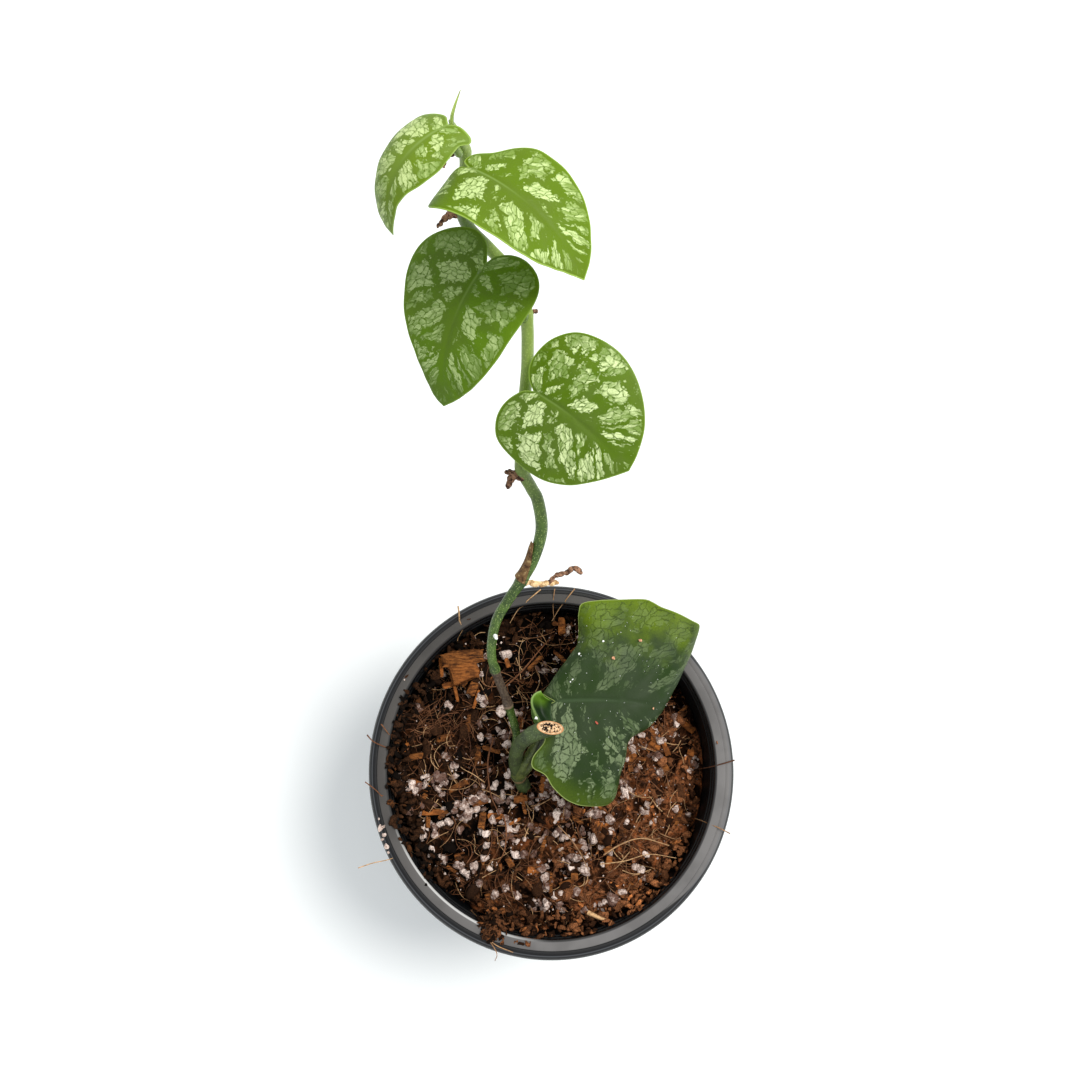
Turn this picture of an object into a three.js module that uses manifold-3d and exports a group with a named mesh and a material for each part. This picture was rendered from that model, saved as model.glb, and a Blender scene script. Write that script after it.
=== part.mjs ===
// A young Monstera dubia in a black plastic nursery pot: a rooted cutting with its old leaf,
// and the vine that has grown from it, leaning out over the rim with four younger leaves.
// Millimetres, +Z up, +Y the way the vine leans, origin at the centre of the pot's underside.

import * as THREE from 'three';
import { mergeVertices } from 'three/addons/utils/BufferGeometryUtils.js';
import Module from 'manifold-3d';

const wasm = await Module();
wasm.setup();

// Driving dimensions

const DEGREE = Math.PI / 180;
const CLEARANCE = 0.3;

const POT = {
  height: 90,
  rimRadius: 53.2,
  mouthRadius: 48.1,
  floorRadius: 35.5,
  wall: 1.4,
  floorTop: 3.4,
  skirt: 9,
  sides: 64,
};

const DRAIN = { count: 8, ring: 20.5, radius: 3.5 };

const MIX = {
  level: 82,
  slope: 0.045,
  rings: 12,
  perlites: 46,
  chips: 11,
};

const BLADE_THICKNESS = 0.8;
const BLADE_RINGS = 5;
const FOLD_RINGS = 7;

// The cutting: a short, thick piece of old stem that comes out of the mix, bends over and ends
// in an oblique, nearly level cut.
const CUTTING = {
  path: [
    [-8.6, -8.1, 64], [-7.9, -6.5, 78], [-9.6, -2.5, 87], [-10.2, 2.1, 96],
    [-8.6, 5.8, 105], [-5, 8, 112], [-0.2, 9.6, 116.5],
  ],
  radius: 2,
  cutHeight: 116.5,
};

// The vine, from the cutting's side bud to its growing tip.
const VINE = {
  path: [
    [-10.7, 4.3, 94], [-10, 8.8, 95], [-12.3, 16.8, 102], [-15.4, 25, 115],
    [-16.2, 29.7, 121], [-14.8, 36.3, 127], [-11.5, 41.5, 131], [-8.1, 45.7, 135],
    [-5, 50.4, 139], [-2.9, 57, 144], [-3.8, 63.1, 149], [-5.5, 65.8, 152],
    [-7.6, 69.1, 157], [-7.8, 76.6, 163], [-6.6, 84.6, 170], [-6.1, 89.9, 176],
    [-6.4, 96, 184], [-9.3, 102.2, 190], [-13.7, 105.9, 194], [-17.4, 107.4, 199],
    [-18.9, 108.4, 202], [-19, 109.1, 205], [-18.2, 111.5, 211], [-17.6, 113, 218],
    [-18.1, 112.8, 221], [-18.8, 111.8, 226], [-19.2, 110.3, 231],
  ],
};

// Where along the vine's length its nodes sit, and how thick it is between them.
const NODES = [0.082, 0.164, 0.3255, 0.5045, 0.7055, 0.8585, 0.93];
const VINE_RADII = [
  [0, 1.15], [0.16, 1.2], [0.33, 1.4], [0.4, 1.55], [0.68, 1.42], [0.8, 1.3], [0.93, 1.05], [1, 0.7],
];

// Leaves. A blade is drawn flat, with its stalk joint at (0, 0), its tip at (length, 0) and its
// margin as points on the left (+y) and on the right, from the tip back to the joint. It is then
// bowed along the midrib, curled across it, and folded over where folds are given.
const LEAVES = [
  {
    name: 'cutting_leaf',
    colour: 0x35522f,
    joint: [0.8, 17, 109.5],
    length: 48.4,
    heading: -6.5,
    drop: 1.2,
    roll: 0,
    bow: 1,
    curl: 0.006,
    sway: 2.3,
    ripple: 0.5,
    around: 30,
    rings: FOLD_RINGS,
    left: [
      [47, 8], [44.5, 17], [42.5, 22], [40.5, 24.3], [36, 25.2], [31, 26.6], [27, 27.6],
      [24.5, 28.8], [22, 29.4], [15, 28.7], [9, 28.2], [4.6, 27.4], [3.9, 25], [2.8, 20.5],
      [-3, 16.5], [-7, 11], [-7, 6], [-3, 2],
    ],
    right: [
      [46.5, -6], [43, -14], [37, -21.5], [30, -27.5], [22, -30.8], [13.5, -30], [7, -27.8],
      [2.3, -23.7], [-0.3, -20], [-4, -17.5], [-4.2, -14.5], [-1, -10.8], [-7.5, -9.3],
      [-9.5, -6.5], [-8.5, -3.5], [-6.5, -1.2], [-3.5, -0.2],
    ],
    folds: [
      { at: [16.3, -7.6], heading: -24.5, radius: 8.5, angle: 88, dents: [[1.8, 4.4, 3], [-16, 7, -4]] },
      { at: [12, -8], heading: -62, radius: 35, angle: 13 },
      { at: [0, 0], heading: 151, radius: 4.5, angle: 110, span: [-26, -12, -1, 5] },
      { at: [-4, 0], heading: 193, radius: 1.8, angle: 140, up: true, span: [-2, 0.4, 6, 9.5] },
    ],
    stalk: [[-9.6, -2.1, 88], [-7.3, 0.1, 93], [-4.7, 4.2, 98], [-2.4, 9, 102], [-0.8, 13.8, 106]],
    stalkRadius: [1.7, 1.15],
  },
  {
    name: 'vine_leaf_1',
    colour: 0x5f8a35,
    joint: [-4.8, 80.8, 177],
    length: 27.8,
    heading: -39.1,
    drop: 8.3,
    roll: 28,
    bow: 1.7,
    curl: 0.022,
    sway: 1.6,
    ripple: 0.35,
    around: 18,
    rings: BLADE_RINGS,
    left: [
      [26.8, 4], [24.4, 8.8], [20.5, 12.7], [15.6, 15.6], [9.8, 17.4], [4, 17.6],
      [-1, 16.1], [-4, 12.7], [-4.9, 8.8], [-4.4, 5], [-2.5, 2],
    ],
    right: [
      [25.9, -3.6], [23.4, -7.8], [19.5, -13], [14.6, -16.3], [9.3, -17.5], [4, -16.6],
      [0, -14.5], [-2.4, -11.3], [-3.5, -8], [-3.4, -4.5], [-2, -1.2],
    ],
    folds: [],
    stalk: [[-6.6, 68.5, 159.5], [-4.6, 72.6, 166], [-4.2, 76.7, 172]],
    stalkRadius: [1, 0.8],
  },
  {
    name: 'vine_leaf_2',
    colour: 0x5c8436,
    joint: [-13.9, 96.5, 206],
    length: 30.5,
    heading: -111.2,
    drop: 31.6,
    roll: 16,
    bow: 3.8,
    curl: 0.012,
    sway: -1.5,
    ripple: 0.35,
    around: 18,
    rings: BLADE_RINGS,
    left: [
      [27.4, 4.1], [23.1, 8.1], [17.9, 11.1], [12.7, 12.6], [7.6, 13.7], [3.8, 13.9],
      [0.9, 12.7], [-1.4, 10.2], [-2.8, 6.6], [-2.8, 3.3], [-1.5, 0.8],
    ],
    right: [
      [29.2, -2.1], [25.5, -4.7], [21.2, -7.7], [17, -10.6], [12.3, -13.2], [7.6, -15.4],
      [3.3, -16.2], [-0.5, -15.2], [-3.3, -12.7], [-4.7, -9.4], [-4.7, -6.1], [-3, -2.4],
    ],
    folds: [],
    stalk: [[-6.6, 94.9, 183.5], [-7.4, 95.7, 191], [-10, 96.7, 199]],
    stalkRadius: [1, 0.8],
  },
  {
    name: 'vine_leaf_3',
    colour: 0x7aa53c,
    joint: [-16.6, 107.8, 221],
    length: 30,
    heading: -42.8,
    drop: 11.5,
    roll: -18,
    bow: 3.7,
    curl: -0.004,
    sway: 0.6,
    ripple: 0.3,
    around: 18,
    rings: BLADE_RINGS,
    left: [
      [27.9, 3.8], [24.9, 6.7], [21.6, 9], [17.7, 10.8], [13.8, 12], [9.9, 12.3],
      [6.2, 11.8], [3.1, 9.5], [0.8, 6], [-1.5, 3.6], [-1.6, 1.1],
    ],
    right: [
      [26.6, -3.5], [23.1, -6.9], [19.7, -9.1], [15.8, -10.6], [11.8, -11.4], [7.9, -11.8],
      [4.4, -12.4], [1.5, -12.2], [-0.8, -10.5], [-2, -7.3], [-2, -4], [-1.4, -1],
    ],
    folds: [{ at: [3, -7], heading: -150, radius: 4, angle: 55 }],
    stalk: [[-18.2, 109.7, 202.5], [-16.9, 109.5, 209], [-16.6, 108.9, 215.5]],
    stalkRadius: [0.95, 0.75],
  },
  {
    name: 'vine_leaf_4',
    colour: 0x83ad45,
    joint: [-19.2, 106.7, 235],
    length: 21.6,
    heading: -128.5,
    drop: 36.9,
    roll: 8,
    bow: 5.4,
    curl: 0.13,
    sway: -1.7,
    ripple: 0.2,
    around: 16,
    rings: BLADE_RINGS,
    left: [
      [18.1, 1.5], [15.7, 2.2], [14.1, 2.9], [12.2, 3.9], [9.8, 5.3], [6.9, 6.1], [4.6, 5.9],
      [2.8, 5.3], [1.7, 4.9], [0.7, 5.5], [-0.1, 4.8], [-0.6, 3.2], [-0.7, 1.4],
    ],
    right: [
      [21.1, -2.2], [20, -4], [18.3, -5.2], [16, -5.5], [13, -5.7], [10, -6.3],
      [7.7, -7.1], [5.3, -7.8], [3.5, -7.7], [1.8, -6.5], [0, -4], [-0.7, -1.9],
    ],
    folds: [],
    stalk: [[-18.6, 111.7, 219.5], [-20, 110.3, 226], [-19.9, 108.5, 231.5]],
    stalkRadius: [0.85, 0.65],
  },
];

// The next leaf, still rolled up tight in a point above the last one.
const SPIKE = {
  path: [[-19, 110.3, 230.6], [-18.6, 109.8, 233.5], [-17.7, 109, 237.5], [-16.5, 108.2, 242]],
  radius: 0.38,
};

// The dry brown sheath that clasps the vine above its third node.
const SHEATH = { from: 0.329, to: 0.388, facing: 142, halfWidth: 95, thickness: 0.6, steps: 9, columns: 8 };

// Aerial roots, one at each node of the vine from the third on, thin and dried up.
const ROOTS = [
  {
    strands: [
      { path: [[-8.1, 45.7, 135], [-4.3, 45.3, 133.5], [-1, 45.7, 132], [1.4, 46, 131]], radii: [0.9, 0.55] },
      {
        path: [[-1, 45.7, 132], [1, 47.7, 132.4], [3.4, 48.3, 132.6], [5.6, 49.7, 132.4], [7.4, 48.5, 131.8]],
        radii: [0.6, 0.7],
      },
    ],
  },
  {
    strands: [
      { path: [[-7.4, 67.6, 155.5], [-9.4, 67.8, 155.5], [-10.6, 66.3, 155], [-10.9, 65, 154.4]], radii: [1.3, 0.6] },
      { path: [[-9.4, 67.8, 155.5], [-10.6, 68.5, 155.8], [-11.4, 68.3, 155.6]], radii: [0.8, 0.45] },
    ],
  },
  { strands: [{ path: [[-6.5, 96.1, 183.6], [-4.7, 96.7, 183.8], [-3.9, 96.9, 183.4]], radii: [0.6, 0.35] }] },
  {
    strands: [
      {
        path: [[-19.7, 109, 203.5], [-21.4, 108.7, 203.4], [-22.9, 107.7, 203], [-24.1, 106.3, 202.4]],
        radii: [1.1, 0.3],
      },
    ],
  },
  {
    strands: [
      {
        path: [[-18, 112.9, 218.6], [-20.2, 112.2, 218.6], [-21.4, 111.1, 218.2], [-21.5, 110, 217.6]],
        radii: [0.75, 0.3],
      },
    ],
  },
];

// The solid tools: a closed geometry becomes a solid to join or cut, and comes back as a geometry.

function closedGeometry(positions, indices) {
  const geometry = new THREE.BufferGeometry();
  geometry.setAttribute('position', new THREE.Float32BufferAttribute(positions, 3));
  geometry.setIndex(indices);
  return geometry;
}

function toSolid(geometry) {
  const bare = geometry.clone();
  bare.deleteAttribute('normal');
  bare.deleteAttribute('uv');
  const merged = mergeVertices(bare, 1e-4);
  return new wasm.Manifold(new wasm.Mesh({
    numProp: 3,
    vertProperties: new Float32Array(merged.attributes.position.array),
    triVerts: new Uint32Array(merged.index.array),
  }));
}

function toGeometry(solid) {
  const mesh = solid.getMesh();
  return closedGeometry(Array.from(mesh.vertProperties), Array.from(mesh.triVerts));
}

function piece(name, solid, colour, roughness) {
  const material = new THREE.MeshStandardMaterial({ color: colour, roughness, metalness: 0 });
  const mesh = new THREE.Mesh(toGeometry(solid), material);
  mesh.name = name;
  return mesh;
}

// Small helpers

function vector(list) {
  return new THREE.Vector3(...list);
}

function smooth(value) {
  const t = Math.min(1, Math.max(0, value));
  return t * t * (3 - 2 * t);
}

function ramp(table, t) {
  let k = 1;
  while (k < table.length - 1 && table[k][0] < t) k += 1;
  const [t0, v0] = table[k - 1];
  const [t1, v1] = table[k];
  return v0 + (v1 - v0) * smooth((t - t0) / (t1 - t0));
}

function seededRandom(seed) {
  let state = seed;
  return () => {
    state = (Math.imul(state, 1664525) + 1013904223) >>> 0;
    return state / 4294967296;
  };
}

// Stems: a round tube along a curve, with its own radius at each step, closed at both ends.
// A cut height ends it in a level face instead of a square one.

function stalk({ path, radiusAt, sides, steps, cutHeight }) {
  const curve = new THREE.CatmullRomCurve3(path.map(vector), false, 'catmullrom', 0.5);
  const frames = curve.computeFrenetFrames(steps, false);
  const positions = [];
  for (let i = 0; i <= steps; i += 1) {
    const centre = curve.getPointAt(i / steps);
    const radius = radiusAt(i / steps);
    for (let j = 0; j < sides; j += 1) {
      const angle = (j / sides) * 2 * Math.PI;
      const point = centre.clone()
        .addScaledVector(frames.normals[i], radius * Math.cos(angle))
        .addScaledVector(frames.binormals[i], radius * Math.sin(angle));
      if (cutHeight !== undefined && i === steps) {
        const tangent = frames.tangents[i];
        point.addScaledVector(tangent, (cutHeight - point.z) / tangent.z);
      }
      positions.push(point.x, point.y, point.z);
    }
  }
  const first = curve.getPointAt(0);
  const last = curve.getPointAt(1);
  if (cutHeight !== undefined) last.z = cutHeight;
  positions.push(first.x, first.y, first.z, last.x, last.y, last.z);
  const startCentre = sides * (steps + 1);
  const endCentre = startCentre + 1;
  const indices = [];
  for (let j = 0; j < sides; j += 1) {
    const k = (j + 1) % sides;
    for (let i = 0; i < steps; i += 1) {
      const a = i * sides + j;
      const b = i * sides + k;
      indices.push(a, b, b + sides, a, b + sides, a + sides);
    }
    indices.push(startCentre, k, j, endCentre, steps * sides + j, steps * sides + k);
  }
  return toSolid(closedGeometry(positions, indices));
}

function taperedStalk(path, [from, to], sides, steps) {
  return stalk({ path, sides, steps, radiusAt: (t) => from + (to - from) * t });
}

// The pot

function potInnerRadius(height) {
  const climb = (height - POT.floorTop) / (POT.height - POT.floorTop);
  return POT.floorRadius + (POT.mouthRadius - POT.floorRadius) * climb;
}

function makePot() {
  const outer = (height) => potInnerRadius(height) + POT.wall;
  const skirtBottom = POT.height - POT.skirt;
  const flangeUnder = POT.height - 1.8;
  const profile = [
    [0, 0], [11, 0], [12.5, 2], [29, 2], [30.5, 0], [35.4, 0], [outer(1.6), 1.6],
    [outer(skirtBottom), skirtBottom], [outer(flangeUnder), flangeUnder],
    [POT.rimRadius - 1.3, flangeUnder], [POT.rimRadius - 1.3, skirtBottom],
    [POT.rimRadius - 0.3, skirtBottom], [POT.rimRadius, skirtBottom + 1],
    [POT.rimRadius, POT.height - 1.6], [POT.rimRadius - 0.6, POT.height - 0.4],
    [POT.rimRadius - 1.5, POT.height], [POT.mouthRadius + 1, POT.height],
    [POT.mouthRadius, POT.height - 0.8], [POT.floorRadius, POT.floorTop], [0, POT.floorTop],
  ];
  const lathe = new THREE.LatheGeometry(profile.map(([r, z]) => new THREE.Vector2(r, z)), POT.sides);
  lathe.rotateX(90 * DEGREE);
  let pot = toSolid(lathe);
  for (let i = 0; i < DRAIN.count; i += 1) {
    const angle = (i / DRAIN.count) * 2 * Math.PI;
    const drill = new THREE.CylinderGeometry(DRAIN.radius, DRAIN.radius, 2 * POT.floorTop, 12);
    drill.rotateX(90 * DEGREE);
    drill.translate(DRAIN.ring * Math.cos(angle), DRAIN.ring * Math.sin(angle), POT.floorTop);
    pot = pot.subtract(toSolid(drill));
  }
  return pot;
}

// The potting mix: its top lies low along the right wall and heaps up on the left, with lumps.

function mixHeight(x, y) {
  const radius = Math.hypot(x, y);
  const angle = Math.atan2(y, x);
  const nearWall = smooth((radius - 37) / 9);
  const drop = 1.6 + 2.6 * Math.cos(angle) + 1.4 * smooth(Math.cos(angle + 130 * DEGREE) * 3 - 1.6);
  const lumps = 0.6 * Math.sin(0.36 * x + 1.3) * Math.cos(0.31 * y - 0.4)
    + 0.45 * Math.sin(0.42 * x - 0.3 * y + 2) + 0.3 * Math.cos(0.25 * x + 0.47 * y);
  return MIX.level - MIX.slope * x + lumps - nearWall * drop;
}

function makeMixBody() {
  const bottom = POT.floorTop + CLEARANCE;
  const positions = [0, 0, mixHeight(0, 0)];
  for (let ring = 1; ring <= MIX.rings; ring += 1) {
    for (let j = 0; j < POT.sides; j += 1) {
      const angle = (j / POT.sides) * 2 * Math.PI;
      const share = ring / MIX.rings;
      const reach = (potInnerRadius(MIX.level - 4) - CLEARANCE) * share;
      const height = mixHeight(reach * Math.sin(angle), -reach * Math.cos(angle));
      const radius = ring === MIX.rings ? potInnerRadius(height) - CLEARANCE : reach;
      positions.push(radius * Math.sin(angle), -radius * Math.cos(angle), height);
    }
  }
  const rim = 1 + (MIX.rings - 1) * POT.sides;
  const foot = rim + POT.sides;
  for (let j = 0; j < POT.sides; j += 1) {
    const angle = (j / POT.sides) * 2 * Math.PI;
    const radius = potInnerRadius(bottom) - CLEARANCE;
    positions.push(radius * Math.sin(angle), -radius * Math.cos(angle), bottom);
  }
  positions.push(0, 0, bottom);
  const footCentre = foot + POT.sides;
  const indices = [];
  for (let j = 0; j < POT.sides; j += 1) {
    const k = (j + 1) % POT.sides;
    indices.push(0, 1 + j, 1 + k);
    for (let ring = 1; ring < MIX.rings; ring += 1) {
      const a = 1 + (ring - 1) * POT.sides;
      const b = a + POT.sides;
      indices.push(a + j, b + j, b + k, a + j, b + k, a + k);
    }
    indices.push(rim + j, foot + j, foot + k, rim + j, foot + k, rim + k);
    indices.push(footCentre, foot + k, foot + j);
  }
  return toSolid(closedGeometry(positions, indices));
}

function addPerlite(body) {
  const random = seededRandom(7);
  let mix = body;
  let placed = 0;
  while (placed < MIX.perlites) {
    const angle = random() * 2 * Math.PI;
    const reach = 43 * Math.sqrt(random());
    const size = 1 + 0.9 * random();
    const keep = random();
    const x = reach * Math.cos(angle);
    const y = reach * Math.sin(angle);
    const lowerLeft = smooth((10 - y - 0.4 * x) / 30);
    const fromCutting = Math.hypot(x + 8, y + 4.9);
    if (keep > 0.25 + 0.75 * lowerLeft || fromCutting < 6) continue;
    const grain = new THREE.IcosahedronGeometry(size, 0);
    grain.rotateZ(angle * 3);
    grain.scale(1, 0.8, 0.85);
    grain.translate(x, y, mixHeight(x, y) - 0.1 * size);
    mix = mix.add(toSolid(grain));
    placed += 1;
  }
  return mix;
}

function barkChip(x, y, [length, width, thickness], turn, tilt) {
  const chip = new THREE.BoxGeometry(length, width, thickness);
  chip.rotateX(tilt);
  chip.rotateZ(turn);
  chip.translate(x, y, mixHeight(x, y) + 0.35 * thickness);
  return toSolid(chip);
}

function addBark(body) {
  const random = seededRandom(21);
  let mix = body.add(barkChip(-27, 30.5, [10.5, 7.5, 2.4], 0.35, 0.2));
  for (let i = 0; i < MIX.chips; i += 1) {
    const angle = (i / MIX.chips) * 2 * Math.PI + 0.5 * random();
    const reach = 16 + 23 * random();
    const size = [3.5 + 4 * random(), 2 + 1.6 * random(), 1.2 + 0.6 * random()];
    const turn = Math.PI * random();
    const tilt = 0.5 * (random() - 0.5);
    mix = mix.add(barkChip(reach * Math.cos(angle), reach * Math.sin(angle), size, turn, tilt));
  }
  return mix;
}

// The cutting and the vine

function cuttingRadius(t, extra = 0) {
  const foot = 0.5 * (1 - smooth(t / 0.45));
  const collar = 0.35 * Math.exp(-(((t - 0.4) / 0.02) ** 2));
  const waist = -0.1 * smooth((t - 0.8) / 0.2);
  return CUTTING.radius + foot + collar + waist + extra;
}

function vineRadius(t, extra = 0) {
  const swelling = NODES.reduce((sum, node) => sum + 0.28 * Math.exp(-(((t - node) / 0.008) ** 2)), 0);
  const tip = 1 - 0.55 * smooth((t - 0.985) / 0.015);
  return ramp(VINE_RADII, t) * tip + swelling + extra;
}

function makeCutting(extra = 0) {
  return stalk({
    path: CUTTING.path,
    radiusAt: (t) => cuttingRadius(t, extra),
    sides: 12,
    steps: 26,
    cutHeight: extra > 0 ? undefined : CUTTING.cutHeight,
  });
}

function makeVine(extra = 0) {
  return stalk({ path: VINE.path, radiusAt: (t) => vineRadius(t, extra), sides: 8, steps: 76 });
}

// The blade

function foldOver(p, fold) {
  const across = new THREE.Vector2(Math.cos(fold.heading * DEGREE), Math.sin(fold.heading * DEGREE));
  const dx = p.x - fold.at[0];
  const dy = p.y - fold.at[1];
  const along = -dx * across.y + dy * across.x;
  const dents = fold.dents ?? [];
  const dip = ([centre, width, depth]) => depth * Math.exp(-(((along - centre) / width) ** 2));
  const dent = dents.reduce((sum, one) => sum + dip(one), 0);
  const past = dx * across.x + dy * across.y + dent;
  if (past <= 0) return p;
  let turn = fold.angle * DEGREE;
  if (fold.span) {
    const [a, b, c, d] = fold.span;
    turn *= smooth((along - a) / (b - a)) * smooth((d - along) / (d - c));
  }
  const down = fold.up ? -1 : 1;
  const height = p.z * down;
  const angle = Math.min(past / fold.radius, turn);
  const rest = past - fold.radius * angle;
  const reach = (fold.radius + height) * Math.sin(angle) + rest * Math.cos(angle) - dent;
  const rise = (fold.radius + height) * Math.cos(angle) - fold.radius - rest * Math.sin(angle);
  return new THREE.Vector3(
    fold.at[0] + reach * across.x - along * across.y,
    fold.at[1] + reach * across.y + along * across.x,
    rise * down,
  );
}

function leafFrame(leaf) {
  const heading = leaf.heading * DEGREE;
  const drop = leaf.drop * DEGREE;
  const forward = new THREE.Vector3(
    Math.cos(heading) * Math.cos(drop),
    Math.sin(heading) * Math.cos(drop),
    -Math.sin(drop),
  );
  const left = new THREE.Vector3(0, 0, 1).cross(forward).normalize();
  left.applyAxisAngle(forward, leaf.roll * DEGREE);
  const up = forward.clone().cross(left);
  const frame = new THREE.Matrix4().makeBasis(forward, left, up);
  return frame.setPosition(vector(leaf.joint));
}

function leafPoint(leaf, x, y) {
  const t = x / leaf.length;
  const arch = 4 * t * (1 - t);
  const wave = leaf.ripple * (y / (0.5 * leaf.length)) ** 2 * Math.sin(11 * t + (y > 0 ? 0 : 1.9));
  let p = new THREE.Vector3(
    x,
    Math.sin(leaf.curl * y) / leaf.curl + leaf.sway * arch,
    (Math.cos(leaf.curl * y) - 1) / leaf.curl + leaf.bow * arch + wave,
  );
  for (const fold of leaf.folds) p = foldOver(p, fold);
  return p;
}

function leafNormal(leaf, x, y) {
  const step = 0.05;
  const alongX = leafPoint(leaf, x + step, y).sub(leafPoint(leaf, x - step, y));
  const alongY = leafPoint(leaf, x, y + step).sub(leafPoint(leaf, x, y - step));
  return alongX.cross(alongY).normalize();
}

function leafMargin(leaf) {
  const side = (points) => {
    const flat = [[leaf.length, 0], ...points, [0, 0]].map(([x, y]) => new THREE.Vector3(x, y, 0));
    return new THREE.CatmullRomCurve3(flat, false, 'catmullrom', 0.5).getSpacedPoints(leaf.around);
  };
  const left = side(leaf.left);
  const right = side(leaf.right).reverse();
  return [...left, ...right.slice(1, -1)];
}

function makeBlade(leaf) {
  const margin = leafMargin(leaf);
  const count = margin.length;
  const heart = new THREE.Vector3(0.38 * leaf.length, 0, 0);
  const frame = leafFrame(leaf);
  const positions = [];
  const addPair = (x, y) => {
    const middle = leafPoint(leaf, x, y);
    const normal = leafNormal(leaf, x, y).multiplyScalar(BLADE_THICKNESS / 2);
    for (const point of [middle.clone().add(normal), middle.clone().sub(normal)]) {
      point.applyMatrix4(frame);
      positions.push(point.x, point.y, point.z);
    }
  };
  addPair(heart.x, heart.y);
  for (let ring = 1; ring <= leaf.rings; ring += 1) {
    for (const edge of margin) {
      const spot = heart.clone().lerp(edge, ring / leaf.rings);
      addPair(spot.x, spot.y);
    }
  }
  const top = (ring, j) => (ring === 0 ? 0 : 2 * (1 + (ring - 1) * count + (j % count)));
  const indices = [];
  const addBoth = (a, b, c) => indices.push(a, b, c, a + 1, c + 1, b + 1);
  for (let j = 0; j < count; j += 1) {
    addBoth(0, top(1, j), top(1, j + 1));
    for (let ring = 1; ring < leaf.rings; ring += 1) {
      addBoth(top(ring, j), top(ring + 1, j), top(ring + 1, j + 1));
      addBoth(top(ring, j), top(ring + 1, j + 1), top(ring, j + 1));
    }
    const a = top(leaf.rings, j);
    const b = top(leaf.rings, j + 1);
    indices.push(a, a + 1, b + 1, a, b + 1, b);
  }
  return toSolid(closedGeometry(positions, indices));
}

// The leaf stalk runs into the blade's joint and on as the midrib under the blade.
function makeStalkAndRib(leaf) {
  const frame = leafFrame(leaf);
  const rib = [0.02, 0.14, 0.28, 0.42, 0.56].map((share) => {
    const x = share * leaf.length;
    const depth = 0.45 - 0.35 * share;
    const point = leafPoint(leaf, x, 0).addScaledVector(leafNormal(leaf, x, 0), -depth);
    return point.applyMatrix4(frame).toArray();
  });
  return stalk({
    path: [...leaf.stalk, ...rib],
    radiusAt: (t) => {
      const [from, to] = leaf.stalkRadius;
      return from + (to - from) * smooth(t / 0.45) - (to - 0.35) * smooth((t - 0.45) / 0.55);
    },
    sides: 7,
    steps: 14,
  });
}

// The dry sheath: a pointed shell wrapped round one side of the vine, open on the other.

function makeSheath() {
  const curve = new THREE.CatmullRomCurve3(VINE.path.map(vector), false, 'catmullrom', 0.5);
  const positions = [];
  const shell = (share, side, thickness) => {
    const t = SHEATH.from + (SHEATH.to - SHEATH.from) * share;
    const centre = curve.getPointAt(t);
    const tangent = curve.getTangentAt(t);
    const east = new THREE.Vector3(0, 0, 1).cross(tangent).normalize();
    const north = tangent.clone().cross(east);
    const half = SHEATH.halfWidth * DEGREE * (1 - 0.82 * share);
    const angle = SHEATH.facing * DEGREE + side * half;
    const radius = vineRadius(t) + CLEARANCE + 0.15 * share + thickness;
    centre.addScaledVector(east, -radius * Math.cos(angle));
    return centre.addScaledVector(north, radius * Math.sin(angle));
  };
  const rows = SHEATH.steps;
  const columns = SHEATH.columns;
  for (let layer = 0; layer < 2; layer += 1) {
    for (let i = 0; i <= rows; i += 1) {
      for (let j = 0; j <= columns; j += 1) {
        const point = shell(i / rows, (2 * j) / columns - 1, layer * SHEATH.thickness);
        positions.push(point.x, point.y, point.z);
      }
    }
  }
  const at = (layer, i, j) => (layer * (rows + 1) + i) * (columns + 1) + j;
  const indices = [];
  const quad = (a, b, c, d) => indices.push(a, c, b, a, d, c);
  for (let i = 0; i < rows; i += 1) {
    for (let j = 0; j < columns; j += 1) {
      quad(at(1, i, j), at(1, i, j + 1), at(1, i + 1, j + 1), at(1, i + 1, j));
      quad(at(0, i, j), at(0, i + 1, j), at(0, i + 1, j + 1), at(0, i, j + 1));
    }
    quad(at(0, i, 0), at(1, i, 0), at(1, i + 1, 0), at(0, i + 1, 0));
    quad(at(0, i, columns), at(0, i + 1, columns), at(1, i + 1, columns), at(1, i, columns));
  }
  for (let j = 0; j < columns; j += 1) {
    quad(at(0, 0, j), at(0, 0, j + 1), at(1, 0, j + 1), at(1, 0, j));
    quad(at(0, rows, j), at(1, rows, j), at(1, rows, j + 1), at(0, rows, j + 1));
  }
  return toSolid(closedGeometry(positions, indices));
}

function makeRoot(root) {
  const strands = root.strands.map((strand) => taperedStalk(strand.path, strand.radii, 7, 8));
  return strands.reduce((whole, strand) => whole.add(strand));
}

function makeSpike() {
  return stalk({
    path: SPIKE.path,
    radiusAt: (t) => SPIKE.radius * (1 - t) ** 0.8 + 0.12,
    sides: 8,
    steps: 12,
  });
}

// The plant in its pot. What grows out of a stem is kept a hair's breadth clear of it.

const cuttingRoom = makeCutting(CLEARANCE);
const vineRoom = makeVine(CLEARANCE);
const clearOfStems = (solid) => solid.subtract(cuttingRoom).subtract(vineRoom);

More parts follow.
